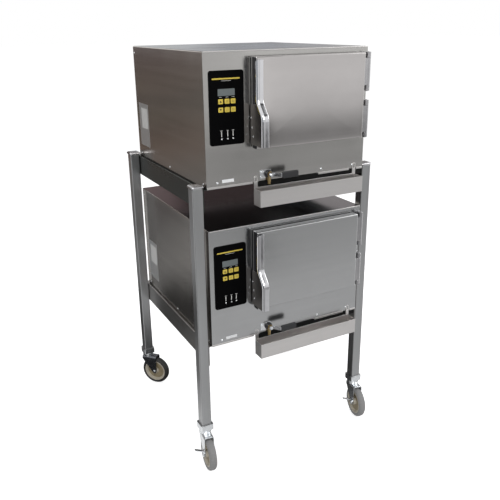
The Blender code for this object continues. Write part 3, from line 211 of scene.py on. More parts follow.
def second_finish(piece, material, chosen):
    """Gives the chosen faces a second material."""
    piece.data.materials.append(material)
    piece.data.polygons.foreach_set("material_index", chosen.astype(np.int32))


def grid_faces(start, rows, columns, ring):
    """Quads (a, b, c, d) between row i and i + 1, column j and j + 1, and the two end faces."""
    index = start + np.arange(rows * columns).reshape(rows, columns)
    ahead = np.roll(index, -1, axis=1)
    if ring:
        below = np.roll(index, -1, axis=0)
        quads = np.stack([index, ahead, np.roll(below, -1, axis=1), below], axis=-1)
        return quads.reshape(-1, 4).tolist()
    quads = np.stack([index[:-1], ahead[:-1], ahead[1:], index[1:]], axis=-1)
    return quads.reshape(-1, 4).tolist() + [index[0, ::-1].tolist(), index[-1].tolist()]


def skin(name, grids, material, body="root", node=None, ring=False, angle=35.0, edge=0.0):
    """One object from closed grids, with every face turned outwards. It may stand for a node."""
    points = [grid.reshape(-1, 3) for grid in grids]
    faces = []
    start = 0
    for grid in grids:
        rows, columns = grid.shape[:2]
        faces += grid_faces(start, rows, columns, ring)
        start += rows * columns
    data = bpy.data.meshes.new(name)
    data.from_pydata(np.concatenate(points), [], faces)
    shape = bmesh.new()
    shape.from_mesh(data)
    bmesh.ops.recalc_face_normals(shape, faces=shape.faces)
    shape.to_mesh(data)
    shape.free()
    piece = add_piece(name, data, material, body, angle)
    if edge:
        bevelled(piece, edge)
    even_normals(piece)
    if node:
        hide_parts(node)
    return piece


def pad_on(name, shape, place, facing, material, body="root", node=None):
    """One pad, its shape given as `pad` takes it, standing on a face."""
    return skin(name, [placed(pad(*shape), place, *facing)], material, body, node)


# %% [markdown]
# ## A finer skin for a solid that is already right
# Many solids have the real outline and only lack a smooth finish. A copy of such a solid is merged,
# its flat triangles are joined, its edges get a fine rounding, and it stands for the solid.


# %% Finished copies
LONG, WIDE, FOLD = 0.3, 0.004, 0.7


def round_folds(piece, radius):
    """Rounds long edges between two wide faces: where a sheet is folded, not where it ends.

    Long is over LONG metres, wide over WIDE square metres, and a fold turns by over FOLD radians.
    """
    data = piece.data
    shape = bmesh.new()
    shape.from_mesh(data)
    weights = np.zeros(len(shape.edges), np.float32)
    for number, edge in enumerate(shape.edges):
        sides = [face.calc_area() for face in edge.link_faces]
        wide = len(sides) == 2 and min(sides) > WIDE
        weights[number] = wide and edge.calc_length() > LONG and edge.calc_face_angle() > FOLD
    shape.free()
    data.attributes.new("bevel_weight_edge", "FLOAT", "EDGE").data.foreach_set("value", weights)
    rounding = bevelled(piece, radius, segments=3)
    rounding.limit_method = "WEIGHT"
    rounding.use_clamp_overlap = False


def finished_copy(node, material, edge=0.0, second=None, where=None, fold=0.0):
    """A merged copy of a node. `where` picks, by face middles, what takes the second material."""
    source = NODES[node]
    shape = bmesh.new()
    shape.from_mesh(source.data)
    bmesh.ops.remove_doubles(shape, verts=shape.verts, dist=1e-6)
    bmesh.ops.dissolve_limit(shape, angle_limit=math.radians(0.3), verts=shape.verts, edges=shape.edges)
    data = bpy.data.meshes.new(node + "_skin")
    shape.to_mesh(data)
    shape.free()
    data.materials.clear()
    piece = add_piece(node + "_skin", data, material, source["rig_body"])
    if second:
        second_finish(piece, second, where(values_of(piece.data.polygons, "center")))
    if fold:
        round_folds(piece, fold)
    elif edge:
        bevelled(piece, edge)
    even_normals(piece)
    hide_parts(node)
    return piece


# %% [markdown]
# ## Finishes
# Metal looks like metal through its small unevenness: the streaks of brushing and the faint clouds
# of hands and cloths. A few short helpers make and link the nodes that all the finishes share.


# %% Node helpers
def new_group(name, inputs, outputs):
    """A shader node group with named sockets, and its two end nodes."""
    group = bpy.data.node_groups.new(name, "ShaderNodeTree")
    for label, kind in inputs:
        group.interface.new_socket(label, in_out="INPUT", socket_type=kind)
    for label in outputs:
        group.interface.new_socket(label, in_out="OUTPUT", socket_type="NodeSocketFloat")
    return group, group.nodes.new("NodeGroupInput"), group.nodes.new("NodeGroupOutput")


def node_value(tree, kind, inputs, output, **settings):
    """One output of a new node. Each of its inputs is a plain value or a socket to link from."""
    made = tree.nodes.new("ShaderNode" + kind)
    for label, value in settings.items():
        setattr(made, label, value)
    for label, value in inputs.items():
        if isinstance(value, bpy.types.NodeSocket):
            tree.links.new(value, made.inputs[label])
        else:
            made.inputs[label].default_value = value
    return made.outputs[output]


def noise(tree, vector, scale, detail=5.0):
    """A noise texture on a vector."""
    inputs = {"Vector": vector, "Scale": scale, "Detail": detail, "Roughness": 0.6}
    return node_value(tree, "TexNoise", inputs, "Fac")


def spread(tree, value, low, high, to_low=0.0, to_high=1.0):
    """A value mapped from one range to another, and held inside it."""
    ends = {"From Min": low, "From Max": high, "To Min": to_low, "To Max": to_high}
    return node_value(tree, "MapRange", {"Value": value, **ends}, "Result")


def combined(tree, first, second, operation="ADD", clamp=False):
    """Two numbers joined by one operation."""
    inputs = {0: first, 1: second}
    return node_value(tree, "Math", inputs, "Value", operation=operation, use_clamp=clamp)


def blended(tree, amount, first, second):
    """A colour between two, by an amount from 0 to 1."""
    inputs = {"Factor": amount, 6: first, 7: second}
    return node_value(tree, "Mix", inputs, 2, data_type="RGBA")


# %% [markdown]
# ## Grain and marks as node groups
# Brushing leaves long scratches, so noise is stretched along one axis. A group holds this once,
# and gives plain numbers that each material uses in its own way.


# %% Brushed grain
def build_grain():
    """Streak and Grain: noise on a vector stretched along the brushing, one broad and one fine."""
    vectors = [("Vector", "NodeSocketVector"), ("Stretch", "NodeSocketVector")]
    inputs = vectors + [("Fineness", "NodeSocketFloat")]
    group, source, result = new_group("sheet grain", inputs, ["Streak", "Grain"])
    both = {0: source.outputs["Vector"], 1: source.outputs["Stretch"]}
    stretched = node_value(group, "VectorMath", both, "Vector", operation="MULTIPLY")
    broad = noise(group, stretched, 26.0, 4.0)
    fine = noise(group, stretched, source.outputs["Fineness"], 3.0)
    group.links.new(spread(group, broad, 0.3, 0.7), result.inputs["Streak"])
    group.links.new(spread(group, fine, 0.25, 0.75), result.inputs["Grain"])
    return group


def build_marks():
    """Smudge: slow clouds where hands and cloths went."""
    group, source, result = new_group("handling marks", [("Vector", "NodeSocketVector")], ["Smudge"])
    clouds = noise(group, source.outputs["Vector"], 4.5)
    group.links.new(spread(group, clouds, 0.42, 0.68), result.inputs["Smudge"])
    return group


GRAIN = build_grain()
MARKS = build_marks()
print("node groups", GRAIN.name, "and", MARKS.name)


# %% Materials from the groups
def new_material(name, roughness, metallic, constants=()):
    """A Principled material, with the (socket, value) constants set on the shader's own sockets."""
    made = bpy.data.materials.new(name)
    made.use_nodes = True
    shader = made.node_tree.nodes["Principled BSDF"]
    shader.inputs["Roughness"].default_value = roughness
    shader.inputs["Metallic"].default_value = metallic
    for label, value in constants:
        shader.inputs[label].default_value = value
    return made, made.node_tree, shader


def grouped(tree, group, vector):
    """A node group placed in a material, fed with a vector."""
    made = tree.nodes.new("ShaderNodeGroup")
    made.node_tree = group
    tree.links.new(vector, made.inputs["Vector"])
    return made


def bumped(tree, shader, height, distance, strength=0.5):
    """A bump of a real height in metres, into the shader's Normal."""
    inputs = {"Strength": strength, "Distance": distance, "Height": height}
    tree.links.new(node_value(tree, "Bump", inputs, "Normal"), shader.inputs["Normal"])


def shade_of(colour, factor):
    """A colour made lighter or darker by a factor, with an alpha of 1."""
    return (*(min(1.0, channel * factor) for channel in colour), 1.0)


ACROSS = (0.02, 1.0, 1.0)
BACKWARDS = (1.0, 0.02, 1.0)
UPWARDS = (1.0, 1.0, 0.02)
FINENESS = 1500.0


def steel(name, colour, roughness, along, contrast=0.04):
    """Brushed stainless sheet: streaks of the grain in colour, roughness and a very shallow bump."""
    made, tree, shader = new_material(name, roughness, 1.0)
    place = tree.nodes.new("ShaderNodeTexCoord").outputs["Object"]
    grain = grouped(tree, GRAIN, place)
    grain.inputs["Stretch"].default_value = along
    grain.inputs["Fineness"].default_value = FINENESS
    marks = grouped(tree, MARKS, place)
    streak, smudge = grain.outputs["Streak"], marks.outputs["Smudge"]
    both = combined(tree, streak, combined(tree, grain.outputs["Grain"], 0.3, "MULTIPLY"))
    dark, light = shade_of(colour, 1 - contrast), shade_of(colour, 1 + contrast)
    streaks = blended(tree, spread(tree, both, 0, 1.3), dark, light)
    clouded = blended(tree, spread(tree, smudge, 0, 1, 0, 0.4), streaks, shade_of(colour, 0.93))
    tree.links.new(clouded, shader.inputs["Base Color"])
    fine = spread(tree, streak, 0, 1, roughness - 0.02, roughness + 0.02)
    rough = combined(tree, fine, spread(tree, smudge, 0, 1, 0, 0.05))
    tree.links.new(rough, shader.inputs["Roughness"])
    bumped(tree, shader, grain.outputs["Grain"], 0.00001, 0.2)
    return made


# Painted reflection: the casing's sides take a darker, warmer steel than its top, which is lighter and
# cooler.
CASING_SIDE_PAINTED_REFLECTION = steel("casing sides with painted reflection", (0.42, 0.395, 0.37), 0.20, BACKWARDS, 0.10)
CASING_TOP_PAINTED_REFLECTION = steel("casing top with painted reflection", (0.48, 0.49, 0.50), 0.14, BACKWARDS)
# Painted reflection: the upper fascia, and the rear panels, take a warm tint and the lower fascia a
# cool tint, though they are one steel.
FASCIA_PAINTED_WARM_REFLECTION = steel("fascia with painted warm reflection", (0.50, 0.49, 0.475), 0.20, ACROSS)
FASCIA_PAINTED_COOL_REFLECTION = steel("fascia with painted cool reflection", (0.485, 0.49, 0.495), 0.20, ACROSS)
# Painted reflection: the upper door takes a warm tint and the lower door a cool tint, though they are
# one steel.
DOOR_PAINTED_WARM_REFLECTION = steel("door with painted warm reflection", (0.525, 0.505, 0.498), 0.08, ACROSS, 0.025)
DOOR_PAINTED_COOL_REFLECTION = steel("door with painted cool reflection", (0.50, 0.505, 0.51), 0.20, ACROSS, 0.025)
# Painted shade: the door's left-facing wall is the door's own steel, made near black.
DOOR_EDGE_PAINTED_SHADE = steel("door edge with painted shade", (0.05, 0.05, 0.055), 0.25, UPWARDS, 0.10)
CAVITY_STEEL = steel("cavity steel", (0.50, 0.50, 0.50), 0.34, ACROSS)
STAND_STEEL = steel("stand steel", (0.43, 0.435, 0.44), 0.30, UPWARDS, 0.10)
RAIL_STEEL = steel("rail steel", (0.40, 0.39, 0.38), 0.28, BACKWARDS, 0.07)
SHADED_RAIL_STEEL = steel("shaded rail steel", (0.078, 0.084, 0.078), 0.28, BACKWARDS, 0.10)
TRAY_STEEL = steel("tray steel", (0.72, 0.70, 0.69), 0.30, ACROSS)
# Painted shade: the handle's side plate is one sheet with the polished strap, but it takes this dark
# brownish steel.
HANDLE_SIDE_PAINTED_SHADE = steel("handle side plate with painted shade", (0.22, 0.205, 0.195), 0.35, UPWARDS, 0.10)
print("steels", len(bpy.data.materials))


# %% Bright and dark finishes
def mottled(name, colour, roughness, metallic, scale, contrast, bump=0.0, constants=()):
    """A finish whose colour and roughness wander a little with a noise of one scale."""
    made, tree, shader = new_material(name, roughness, metallic, constants)
    place = tree.nodes.new("ShaderNodeTexCoord").outputs["Object"]
    cloud = noise(tree, place, scale)
    amount = spread(tree, cloud, 0.3, 0.7)
    colours = blended(tree, amount, shade_of(colour, 1 - contrast), shade_of(colour, 1 + contrast))
    tree.links.new(colours, shader.inputs["Base Color"])
    rough = spread(tree, amount, 0, 1, roughness * 0.8, roughness * 1.2)
    tree.links.new(rough, shader.inputs["Roughness"])
    if bump:
        bumped(tree, shader, cloud, bump)
    return made


POLISHED = mottled("polished steel", (0.66, 0.66, 0.68), 0.12, 1.0, 30.0, 0.05)
ZINC = mottled("bright zinc", (0.80, 0.82, 0.84), 0.22, 1.0, 60.0, 0.08, 0.00001)
# Painted shade: the rear casters' forks take this darker copy of the zinc.
ZINC_PAINTED_SHADE = mottled("zinc with painted shade", (0.17, 0.175, 0.19), 0.26, 1.0, 60.0, 0.12, 0.00001)
LEVER_STEEL = mottled("lever strap steel", (0.40, 0.40, 0.41), 0.22, 1.0, 30.0, 0.06)
HINGE_STEEL = mottled("hinge steel", (0.44, 0.435, 0.445), 0.22, 1.0, 25.0, 0.06)
# Partly painted shade: the base pan is galvanised sheet, darkened to near black for the shade under
# each cabinet.
GALVANISED_PAINTED_SHADE = mottled("galvanised base pan with painted shade", (0.05, 0.047, 0.046), 0.50, 0.8, 60.0, 0.20, 0.00002)
BRASS = mottled("brass", (0.42, 0.31, 0.15), 0.32, 1.0, 160.0, 0.18)
BLACK_PLASTIC = mottled("black plastic", (0.016, 0.016, 0.018), 0.42, 0.0, 700.0, 0.3, 0.00006)
DULL = [("Specular IOR Level", 0.15)]
DULLEST = [("Specular IOR Level", 0.03)]
MEMBRANE = mottled("black membrane", (0.0015, 0.0015, 0.0018), 0.50, 0.0, 900.0, 0.3, 0.00002, DULLEST)
GASKET = mottled("gasket rubber", (0.014, 0.014, 0.015), 0.62, 0.0, 300.0, 0.3, 0.00008)
TREAD = mottled("grey tread", (0.245, 0.243, 0.243), 0.62, 0.0, 240.0, 0.12, 0.00010)
DARK_TREAD = mottled("dark tread", (0.022, 0.021, 0.020), 0.55, 0.0, 240.0, 0.25, 0.00010)
RIM = mottled("beige rim", (0.50, 0.46, 0.38), 0.42, 0.0, 60.0, 0.12, 0.00005)
# Painted shade: the rim's recessed dish is darker and browner than its flange.
RIM_DISH_PAINTED_SHADE = mottled("rim dish with painted shade", (0.27, 0.22, 0.135), 0.40, 0.0, 60.0, 0.22, 0.00005)
GLASS_GREY = mottled("display window", (0.125, 0.145, 0.147), 0.22, 0.0, 40.0, 0.06)
AMBER = mottled("amber key", (0.62, 0.47, 0.06), 0.38, 0.0, 200.0, 0.05)
PALE_INK = mottled("pale ink", (0.62, 0.62, 0.60), 0.50, 0.0, 300.0, 0.08)
DARK_INK = mottled("dark ink", (0.03, 0.026, 0.015), 0.45, 0.0, 300.0, 0.2)
LABEL = mottled("white label", (0.74, 0.75, 0.76), 0.45, 0.0, 120.0, 0.05)
FOIL = mottled("foil plate", (0.42, 0.42, 0.42), 0.40, 0.6, 80.0, 0.08)
# Painted shade: a black strip that stands in for the dark gap behind and above each tray.
STRIP_PAINTED_SHADE = mottled("black strip of painted shade", (0.005, 0.005, 0.005), 0.70, 0.0, 90.0, 0.20, 0.00003, DULL)
PLATE_FIELD = mottled("plate field", (0.62, 0.62, 0.61), 0.45, 0.0, 120.0, 0.06)
print("finishes", len(bpy.data.materials))

# %% [markdown]
# ## Casing, fascia and stand
# These are folded sheet and square tube. Their solids already have every fold, so each is copied,
# merged and given fine rounded edges: an edge with no radius never catches the light.

# %% Sheet work that keeps its solid's shape
SOCKET_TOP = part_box("caster_front_left_fork")[1].z + 0.012
TUBE_CORNER, RAIL_FOLD, WRAP_FOLD = 0.004, 0.0025, 0.002
for label in CORNERS:
    in_socket = lambda middles: middles[:, 2] < SOCKET_TOP
    finished_copy("leg_" + label, STAND_STEEL, second=ZINC, where=in_socket, fold=TUBE_CORNER)
for node in sorted(name for name in NODES if name.startswith("rail_")):
    finished_copy(node, SHADED_RAIL_STEEL if "upper" in node else RAIL_STEEL, fold=RAIL_FOLD)
for node in sorted(name for name in NODES if name.startswith("rear_crossmember_")):
    finished_copy(node, RAIL_STEEL, 0.0005)
FASCIAS = {}
for unit in UNITS:
    on_top = lambda middles: middles[:, 2] > BASE[unit] + HEIGHT - 0.0008
    # The wrap's top faces take the lighter, cooler steel and its sides the darker, warmer one: painted
    # reflection.
    finished_copy(unit + "_casing_wrap", CASING_SIDE_PAINTED_REFLECTION, second=CASING_TOP_PAINTED_REFLECTION, where=on_top, fold=WRAP_FOLD)
    # The warm and cool fascia tints are painted reflection.
    fascia_painted_reflection = FASCIA_PAINTED_WARM_REFLECTION if unit == "upper" else FASCIA_PAINTED_COOL_REFLECTION
    FASCIAS[unit] = finished_copy(unit + "_fascia", fascia_painted_reflection, 0.0004)
    # The base pan's near-black colour is partly painted shade.
    finished_copy(unit + "_base_pan", GALVANISED_PAINTED_SHADE, 0.0003)
    on_gland = lambda middles: middles[:, 1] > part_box(unit + "_rear_panel")[1].y - 0.014
    finished_copy(unit + "_rear_panel", FASCIA_PAINTED_WARM_REFLECTION, 0.0003, second=BLACK_PLASTIC, where=on_gland)
    finished_copy(unit + "_drip_tray", TRAY_STEEL, 0.0003)
    finished_copy(unit + "_door_liner", CAVITY_STEEL, 0.0006)
    finished_copy(unit + "_door_gasket", GASKET, 0.0015)
    for place in ("cabinet_leaf_upper", "cabinet_leaf_lower", "door_leaf_upper", "door_leaf_lower"):
        finished_copy(f"{unit}_{place}", HINGE_STEEL, 0.0006)

# %% [markdown]
# ## Notch in the fascia's lower lip
# The lip is cut away over the tray so that drips fall clear. The photo shows a lower cut than the
# solid has, so the cut's upper corners are moved down in the copy, straight in its mesh.

# %% Notch corners
NOTCH_TOP, NOTCH_SEEN, NOTCH_REACH = 0.0180, 0.0085, 0.15
for unit in UNITS:
    corners = FASCIAS[unit].data.vertices
    points = values_of(corners, "co")
    brim = abs(points[:, 2] - BASE[unit] - NOTCH_TOP) < 0.0006
    brim &= abs(points[:, 0]) < NOTCH_REACH
    points[brim, 2] -= NOTCH_TOP - NOTCH_SEEN
    corners.foreach_set("co", points.ravel())
    print(unit, "notch corners lowered", int(brim.sum()))

# %% [markdown]
# ## Hems, strips and beads
# A bare sheet edge cuts, so the fascia's lower edge is hemmed and its top edge is rolled. A black
# strip behind each tray and in its notch is painted shade for the dark gap there. The tray's back
# wall ends in a bead. Each is a thin pad, given as width, height, corner radius, thickness and roll.

# %% Thin trim round each fascia
HEM_BOTTOM, HEM_HEIGHT = 0.0005, 0.0085
HEM_EDGE = (0.0006, 0.0010, 0.0006)
HEMS = ((-0.361, -0.168), (0.138, 0.292), (0.330, 0.361))
TOP_ROLL = (0.718, 0.0038, 0.0006, 0.0014, 0.0013)
STRIP_BELOW = (0.513, 0.0255, 0.001, 0.0017, 0.0004)
STRIP_IN_NOTCH = (0.272, 0.0035, 0.001, 0.0017, 0.0004)
BEAD = (0.483, 0.0100, 0.0008, 0.0011, 0.0010)
STRIP_Y = FASCIA + 0.0035
for unit in UNITS:
    base = BASE[unit]
    hems = []
    for left, right in HEMS:
        hem_middle = ((left + right) / 2, FASCIA, base + HEM_BOTTOM + HEM_HEIGHT / 2)
        hems.append(placed(pad(right - left, HEM_HEIGHT, *HEM_EDGE), hem_middle, *FRONT))
    skin(unit + "_fascia_hem", hems, TRAY_STEEL)
    roll_place = (0, FASCIA, base + HEIGHT - 0.0023)
    pad_on(unit + "_fascia_top_fold", TOP_ROLL, roll_place, FRONT, TRAY_STEEL)
    # These black strips are painted shade in the gap below the fascia and in its notch.
    below = placed(pad(*STRIP_BELOW), (0.1015, STRIP_Y, base - 0.00775), *FRONT)
    within = placed(pad(*STRIP_IN_NOTCH), (-0.002, STRIP_Y, base + 0.0064), *FRONT)
    skin(unit + "_painted_shade_strip", [below, within], STRIP_PAINTED_SHADE)
    bead_place = (0.0815, FASCIA - 0.0018, base - 0.0199)
    pad_on(unit + "_tray_bead", BEAD, bead_place, FRONT, TRAY_STEEL, unit + "_drip_tray_body")
print("hem height", HEM_HEIGHT)

# %% [markdown]
# ## Domed caps of the legs
# A pressed cap closes each tube. It is a pad a little smaller than the tube, with a wide roll and a
# low crown, given as corner radius, height, roll, crown and rings.

# %% Leg caps
CAP_INSET = 0.0015
CAP = (0.009, 0.0085, 0.0070, 0.0015, 4)
for label in CORNERS:
    low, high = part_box("leg_" + label)
    width, depth = high.x - low.x - 2 * CAP_INSET, high.y - low.y - 2 * CAP_INSET
    middle = ((low.x + high.x) / 2, (low.y + high.y) / 2, high.z - 0.0002)
    pad_on(f"leg_{label}_cap", (width, depth, *CAP), middle, UPRIGHT, HINGE_STEEL)
print("cap width", round(width, 4))

# %% [markdown]
# ## Inside the cabinets
# The wire rack and the welded cavity are seen only with a door open, and their solids have every
# form already, so they keep their own meshes and take a finish.


# %% Solids that stay as they are
def dressed(node, material):
    """A solid whose shape is right keeps its mesh and takes a finish."""
    node.data.materials.clear()
    node.data.materials.append(material)


for unit in UNITS:
    dressed(NODES[unit + "_pan_rack"], ZINC)
    dressed(NODES[unit + "_steam_cavity"], CAVITY_STEEL)
print("finishes on solids", 2 * len(UNITS))

# %% [markdown]
# ## Doors
# The door's outer pan is pressed from one sheet, so its face is very slightly crowned and its edges
# roll over with a radius. That small crown is what bends the reflections on the real one.

# %% Door pans
DOOR = {unit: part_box(unit + "_door_outer_pan") for unit in UNITS}
DOOR_CORNER, EDGE_ROLL, CROWN = 0.004, 0.005, 0.0006
FACES_LEFT = -0.7
SEAM = ((0.0095, 0.0), (0.0095, 0.0016), (0.0115, 0.0016), (0.0115, 0.0))
for unit in UNITS:
    low, high = DOOR[unit]
    size = high - low
    middle = ((low.x + high.x) / 2, high.y, (low.z + high.z) / 2)
    pan = pad(size.x, size.z, DOOR_CORNER, size.y - CROWN, EDGE_ROLL, CROWN, 12, groove=SEAM)
    # The warm and cool door tints are painted reflection.
    finish = DOOR_PAINTED_WARM_REFLECTION if unit == "upper" else DOOR_PAINTED_COOL_REFLECTION
    node = unit + "_door_outer_pan"
    piece = skin(unit + "_door_pan", [placed(pan, middle)], finish, unit + "_door", node)
    # The faces that look left take the near-black steel: painted shade on the door's side wall.
    second_finish(piece, DOOR_EDGE_PAINTED_SHADE, values_of(piece.data.polygons, "normal")[:, 0] < FACES_LEFT)
print("door", [round(v, 4) for v in size])


# %% [markdown]
# ## Handles
# One folded sheet: the strap stands a little off the door, bends out to the grip, and a side plate
# closes the left. The strap's plan section is carried down its bent line, and a top corner is cut.


# %% Bent sheet
def normals(line):
    """The unit normal at each point of a line of 2D points: (v, -u) for the direction (u, v)."""
    direction = np.gradient(line, axis=0)
    direction /= np.linalg.norm(direction, axis=1)[:, None]
    return np.stack([direction[:, 1], -direction[:, 0]], axis=1)


def thickened(line, thickness):
    """The outline of a bent sheet: the line, and back along the line moved by t along its normal."""
    return np.concatenate([line, (line + normals(line) * thickness)[::-1]])


def between(outline, axis, low, high):
    """A plate: a 2D outline at two places along the axis (0, 1, 2) that it lacks."""
    return np.array([np.insert(outline, axis, place, axis=1) for place in (low, high)])


# %% Handle section
STRAP = 0.0025
BEND = 0.0125
RETURN_BEND = 0.0035
RETURN_DEPTH = 0.0075
CORNER_CUT = 0.0120


def handle_section(width):
    """The handle's plan as (x from its left edge, depth behind its front), and s, the cut's distance.

    The left bend of radius R is x = R - R sin a, depth = R - R cos a, and s = R (pi / 2 - a) from
    its end. The inner face has R - t about the same middle, and the right bend is a smaller one.
    """
    a = np.linspace(0, math.pi / 2, 11)
    b = np.linspace(0, math.pi / 2, 6)
    rows = [np.array([[width, RETURN_DEPTH]])]
    inner = []
    for thick, line in ((0.0, rows), (STRAP, inner)):
        inner_bend, small = BEND - thick, RETURN_BEND - thick
        left = np.column_stack([BEND - inner_bend * np.sin(a), BEND - inner_bend * np.cos(a)])
        across = width - RETURN_BEND + small * np.sin(b)
        right = np.column_stack([across, RETURN_BEND - small * np.cos(b)])
        line += [right[::-1], left]
    rows += [np.concatenate(inner)[::-1], np.array([[width - STRAP, RETURN_DEPTH]])]
    turned_by = np.concatenate([np.zeros(7), a, a[::-1], np.zeros(7)])
    return np.concatenate(rows), BEND * (math.pi / 2 - turned_by)


# %% Handle of each door
PROUD = 0.0110
STRAP_END, GRIP_START, STRAP_FILLET = 0.160, 0.210, 0.016
SIDE_FRONT_TOP, SIDE_REAR_TOP, SIDE_REAR, SIDE_TUCK = 0.166, 0.172, 0.007, 0.0012
for unit in UNITS:
    node = unit + "_door_handle"
    strap_low, strap_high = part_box(node)
    door_top = DOOR[unit][1].z
    front, grip = DOOR[unit][0].y - PROUD, strap_low.y
    corners = [(front, strap_high.z), (front, door_top - STRAP_END)]
    corners += [(grip, door_top - GRIP_START), (grip, strap_low.z)]
    line = filleted(corners, STRAP_FILLET, 8)
    line = np.concatenate([line[:1], line[:1] - [[0.0, CORNER_CUT + 0.001]], line[1:]])
    backwards = -normals(line)
    left = strap_low.x
    section, cut_distance = handle_section(strap_high.x - left)
    strap = np.empty((len(line), len(section), 3))
    strap[..., 0] = left + section[:, 0]
    strap[..., 1:] = line[:, None] + backwards[:, None] * section[:, 1, None]
    strap[0, :, 2] -= np.clip(CORNER_CUT - cut_distance, 0, None)
    skin(unit + "_handle_strap", [strap], POLISHED, unit + "_door", node, angle=30, edge=0.0005)
    rear = FASCIA - SIDE_REAR
    behind = line + backwards * (BEND - SIDE_TUCK)
    behind = behind[behind[:, 1] < door_top - SIDE_FRONT_TOP]
    side = np.concatenate([behind, [(rear, strap_low.z), (rear, door_top - SIDE_REAR_TOP)]])
    plate = between(side, 0, left + GAP, DOOR[unit][0].x - GAP)
    # The side plate's dark steel is painted shade.
    skin(unit + "_handle_side", [plate], HANDLE_SIDE_PAINTED_SHADE, unit + "_door", node, angle=30, edge=0.0004)
print("grip stands", round(DOOR["upper"][0].y - strap_low.y, 4), "in front of the door")


# %% [markdown]
# ## Screws
# Small pan-head screws hold the sheets. A head is a dome whose cross recess is a hollow where the
# smaller of |x| and |y| is under the slot's half width. The heads of one kind make one piece.


# %% Screws of the sheets
def screw_head(radius, height, rings=9, sides=32):
    """A pan head: h = H (0.35 + 0.65 (1 - (r/R)^4)), less the recess.

    The recess is its depth times two ramps, one on the smaller of |x| and |y|, one on r.
    """
    r = np.concatenate([[radius, radius], np.linspace(radius, radius * 0.04, rings)])[:, None]
    a = np.linspace(0, 2 * math.pi, sides, endpoint=False)
    x = r * np.cos(a)
    y = r * np.sin(a)
    dome = height * (0.35 + 0.65 * (1 - (r / radius) ** 4)) + 0 * x
    slot = np.clip((0.20 * radius - np.minimum(abs(x), abs(y))) / (0.08 * radius), 0, 1)
    reach = np.clip((0.66 * radius - r) / (0.10 * radius), 0, 1)
    h = dome - 0.55 * height * slot * reach
    h[0] = -0.0004
    return np.stack([x, y, h], axis=2)


def screws(name, places, body, radius=0.0042, height=0.0018):
    """Heads at (point, facing) places, each turned by its own angle about its axis."""
    grids = []
    for number, (point, facing) in enumerate(places):
        turn = 0.7 + 1.9 * number
        c, s = math.cos(turn), math.sin(turn)
        spin = np.array([[c, s, 0], [-s, c, 0], [0, 0, 1]])
        grids.append(placed(screw_head(radius, height) @ spin, point, *facing))
    return skin(name, grids, ZINC, body, angle=60)


FRONT_SCREWS, FRONT_RISE = (-0.317, -0.1565, -0.130, 0.151, 0.308), 0.022
SIDE_SCREWS, SIDE_RISE = (0.030, 0.374, 0.735), 0.017
CORNER_INSET = 0.030
REAR_SCREWS = [(x, z) for x in (-0.345, 0.0, 0.345) for z in (0.020, 0.482)]
HANDLE_SCREWS = ((0.010, 0.256), (0.018, 0.220), (0.025, 0.188))
for unit in UNITS:
    base = BASE[unit]
    front = [((x, FASCIA, base + FRONT_RISE), FRONT) for x in FRONT_SCREWS]
    sides = [((-SIDE, FASCIA + y, base + SIDE_RISE), LEFT) for y in SIDE_SCREWS]
    sides += [((SIDE, FASCIA + y, base + SIDE_RISE), RIGHT) for y in SIDE_SCREWS]
    rear_top = (BACK - CORNER_INSET, base + HEIGHT - CORNER_INSET)
    sides += [((-SIDE, *rear_top), LEFT), ((SIDE, *rear_top), RIGHT)]
    rear_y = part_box(unit + "_casing_wrap")[1].y
    rear = [((x, rear_y, base + z), REAR) for x, z in REAR_SCREWS]
    screws(unit + "_fascia_screws", front, "root")
    screws(unit + "_side_screws", sides, "root")
    screws(unit + "_rear_screws", rear, "root")
    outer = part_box(unit + "_door_handle")[0].x + GAP
    handle_places = [((outer, FASCIA - y, base + z), LEFT) for y, z in HANDLE_SCREWS]
    screws(unit + "_handle_screws", handle_places, unit + "_door", 0.0036, 0.0014)
print("screw heads per cabinet", len(front) + len(sides) + len(rear) + len(handle_places))

# %% [markdown]
# ## Control panel
# A black membrane in a raised border. The keys are printed pads that stand a little proud, the
# window is a grey glass, and the marks are generic: arrows, bars and drops, with no words.

# %% Panel and window
PANEL = {unit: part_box(unit + "_control_panel") for unit in UNITS}
FIELD = 0.0012


def on_panel(unit, x, z, grid):
    """A local grid set on the membrane's field at (x, z) of the cabinet."""
    return placed(grid, (x, PANEL[unit][0].y + FIELD, BASE[unit] + z), *FRONT)


KEY_COLUMNS = (-0.2965, -0.2705, -0.246)
KEY_ROWS = (0.322, 0.292)
LAMP_COLUMNS = (-0.2955, -0.2705, -0.2485)
PANEL_MIDDLE, WINDOW_Z, BAR_Z = -0.273, 0.354, 0.402
WINDOW = (0.068, 0.025, 0.0012, 0.0008, 0.0004)
KEY = (0.0195, 0.0180, 0.0028, 0.0009, 0.0005, 0.0002, 4)
BAR = (0.112, 0.0050, 0.0020, 0.0004, 0.0002)
for unit in UNITS:
    finished_copy(unit + "_control_panel", MEMBRANE, 0.0004)
    window = on_panel(unit, PANEL_MIDDLE, WINDOW_Z, pad(*WINDOW))
    skin(unit + "_display_window", [window], GLASS_GREY)
    keys = [on_panel(unit, x, z, pad(*KEY)) for x in KEY_COLUMNS for z in KEY_ROWS]
    skin(unit + "_keys", keys, AMBER)
    bar = on_panel(unit, PANEL_MIDDLE, BAR_Z, pad(*BAR))
    skin(unit + "_amber_bar", [bar], AMBER)
print("panel", [round(v, 4) for v in PANEL["upper"][1] - PANEL["upper"][0]])


# %% Marks on the keys and above the lamps
def wedge(width, height, thickness, up):
    """A triangle plate that points up (1) or down (-1): its outline at h = 0 and at its thickness."""
    side, tip = width / 2, up * height / 2
    outline = np.array([[-side, -tip], [side, -tip], [0.0, tip]])
    return between(outline, 2, 0.0, thickness)


def stroke(width, height):
    """A small flat bar of ink."""
    return pad(width, height, min(width, height) * 0.3, 0.0002, 0.0001, steps=3)


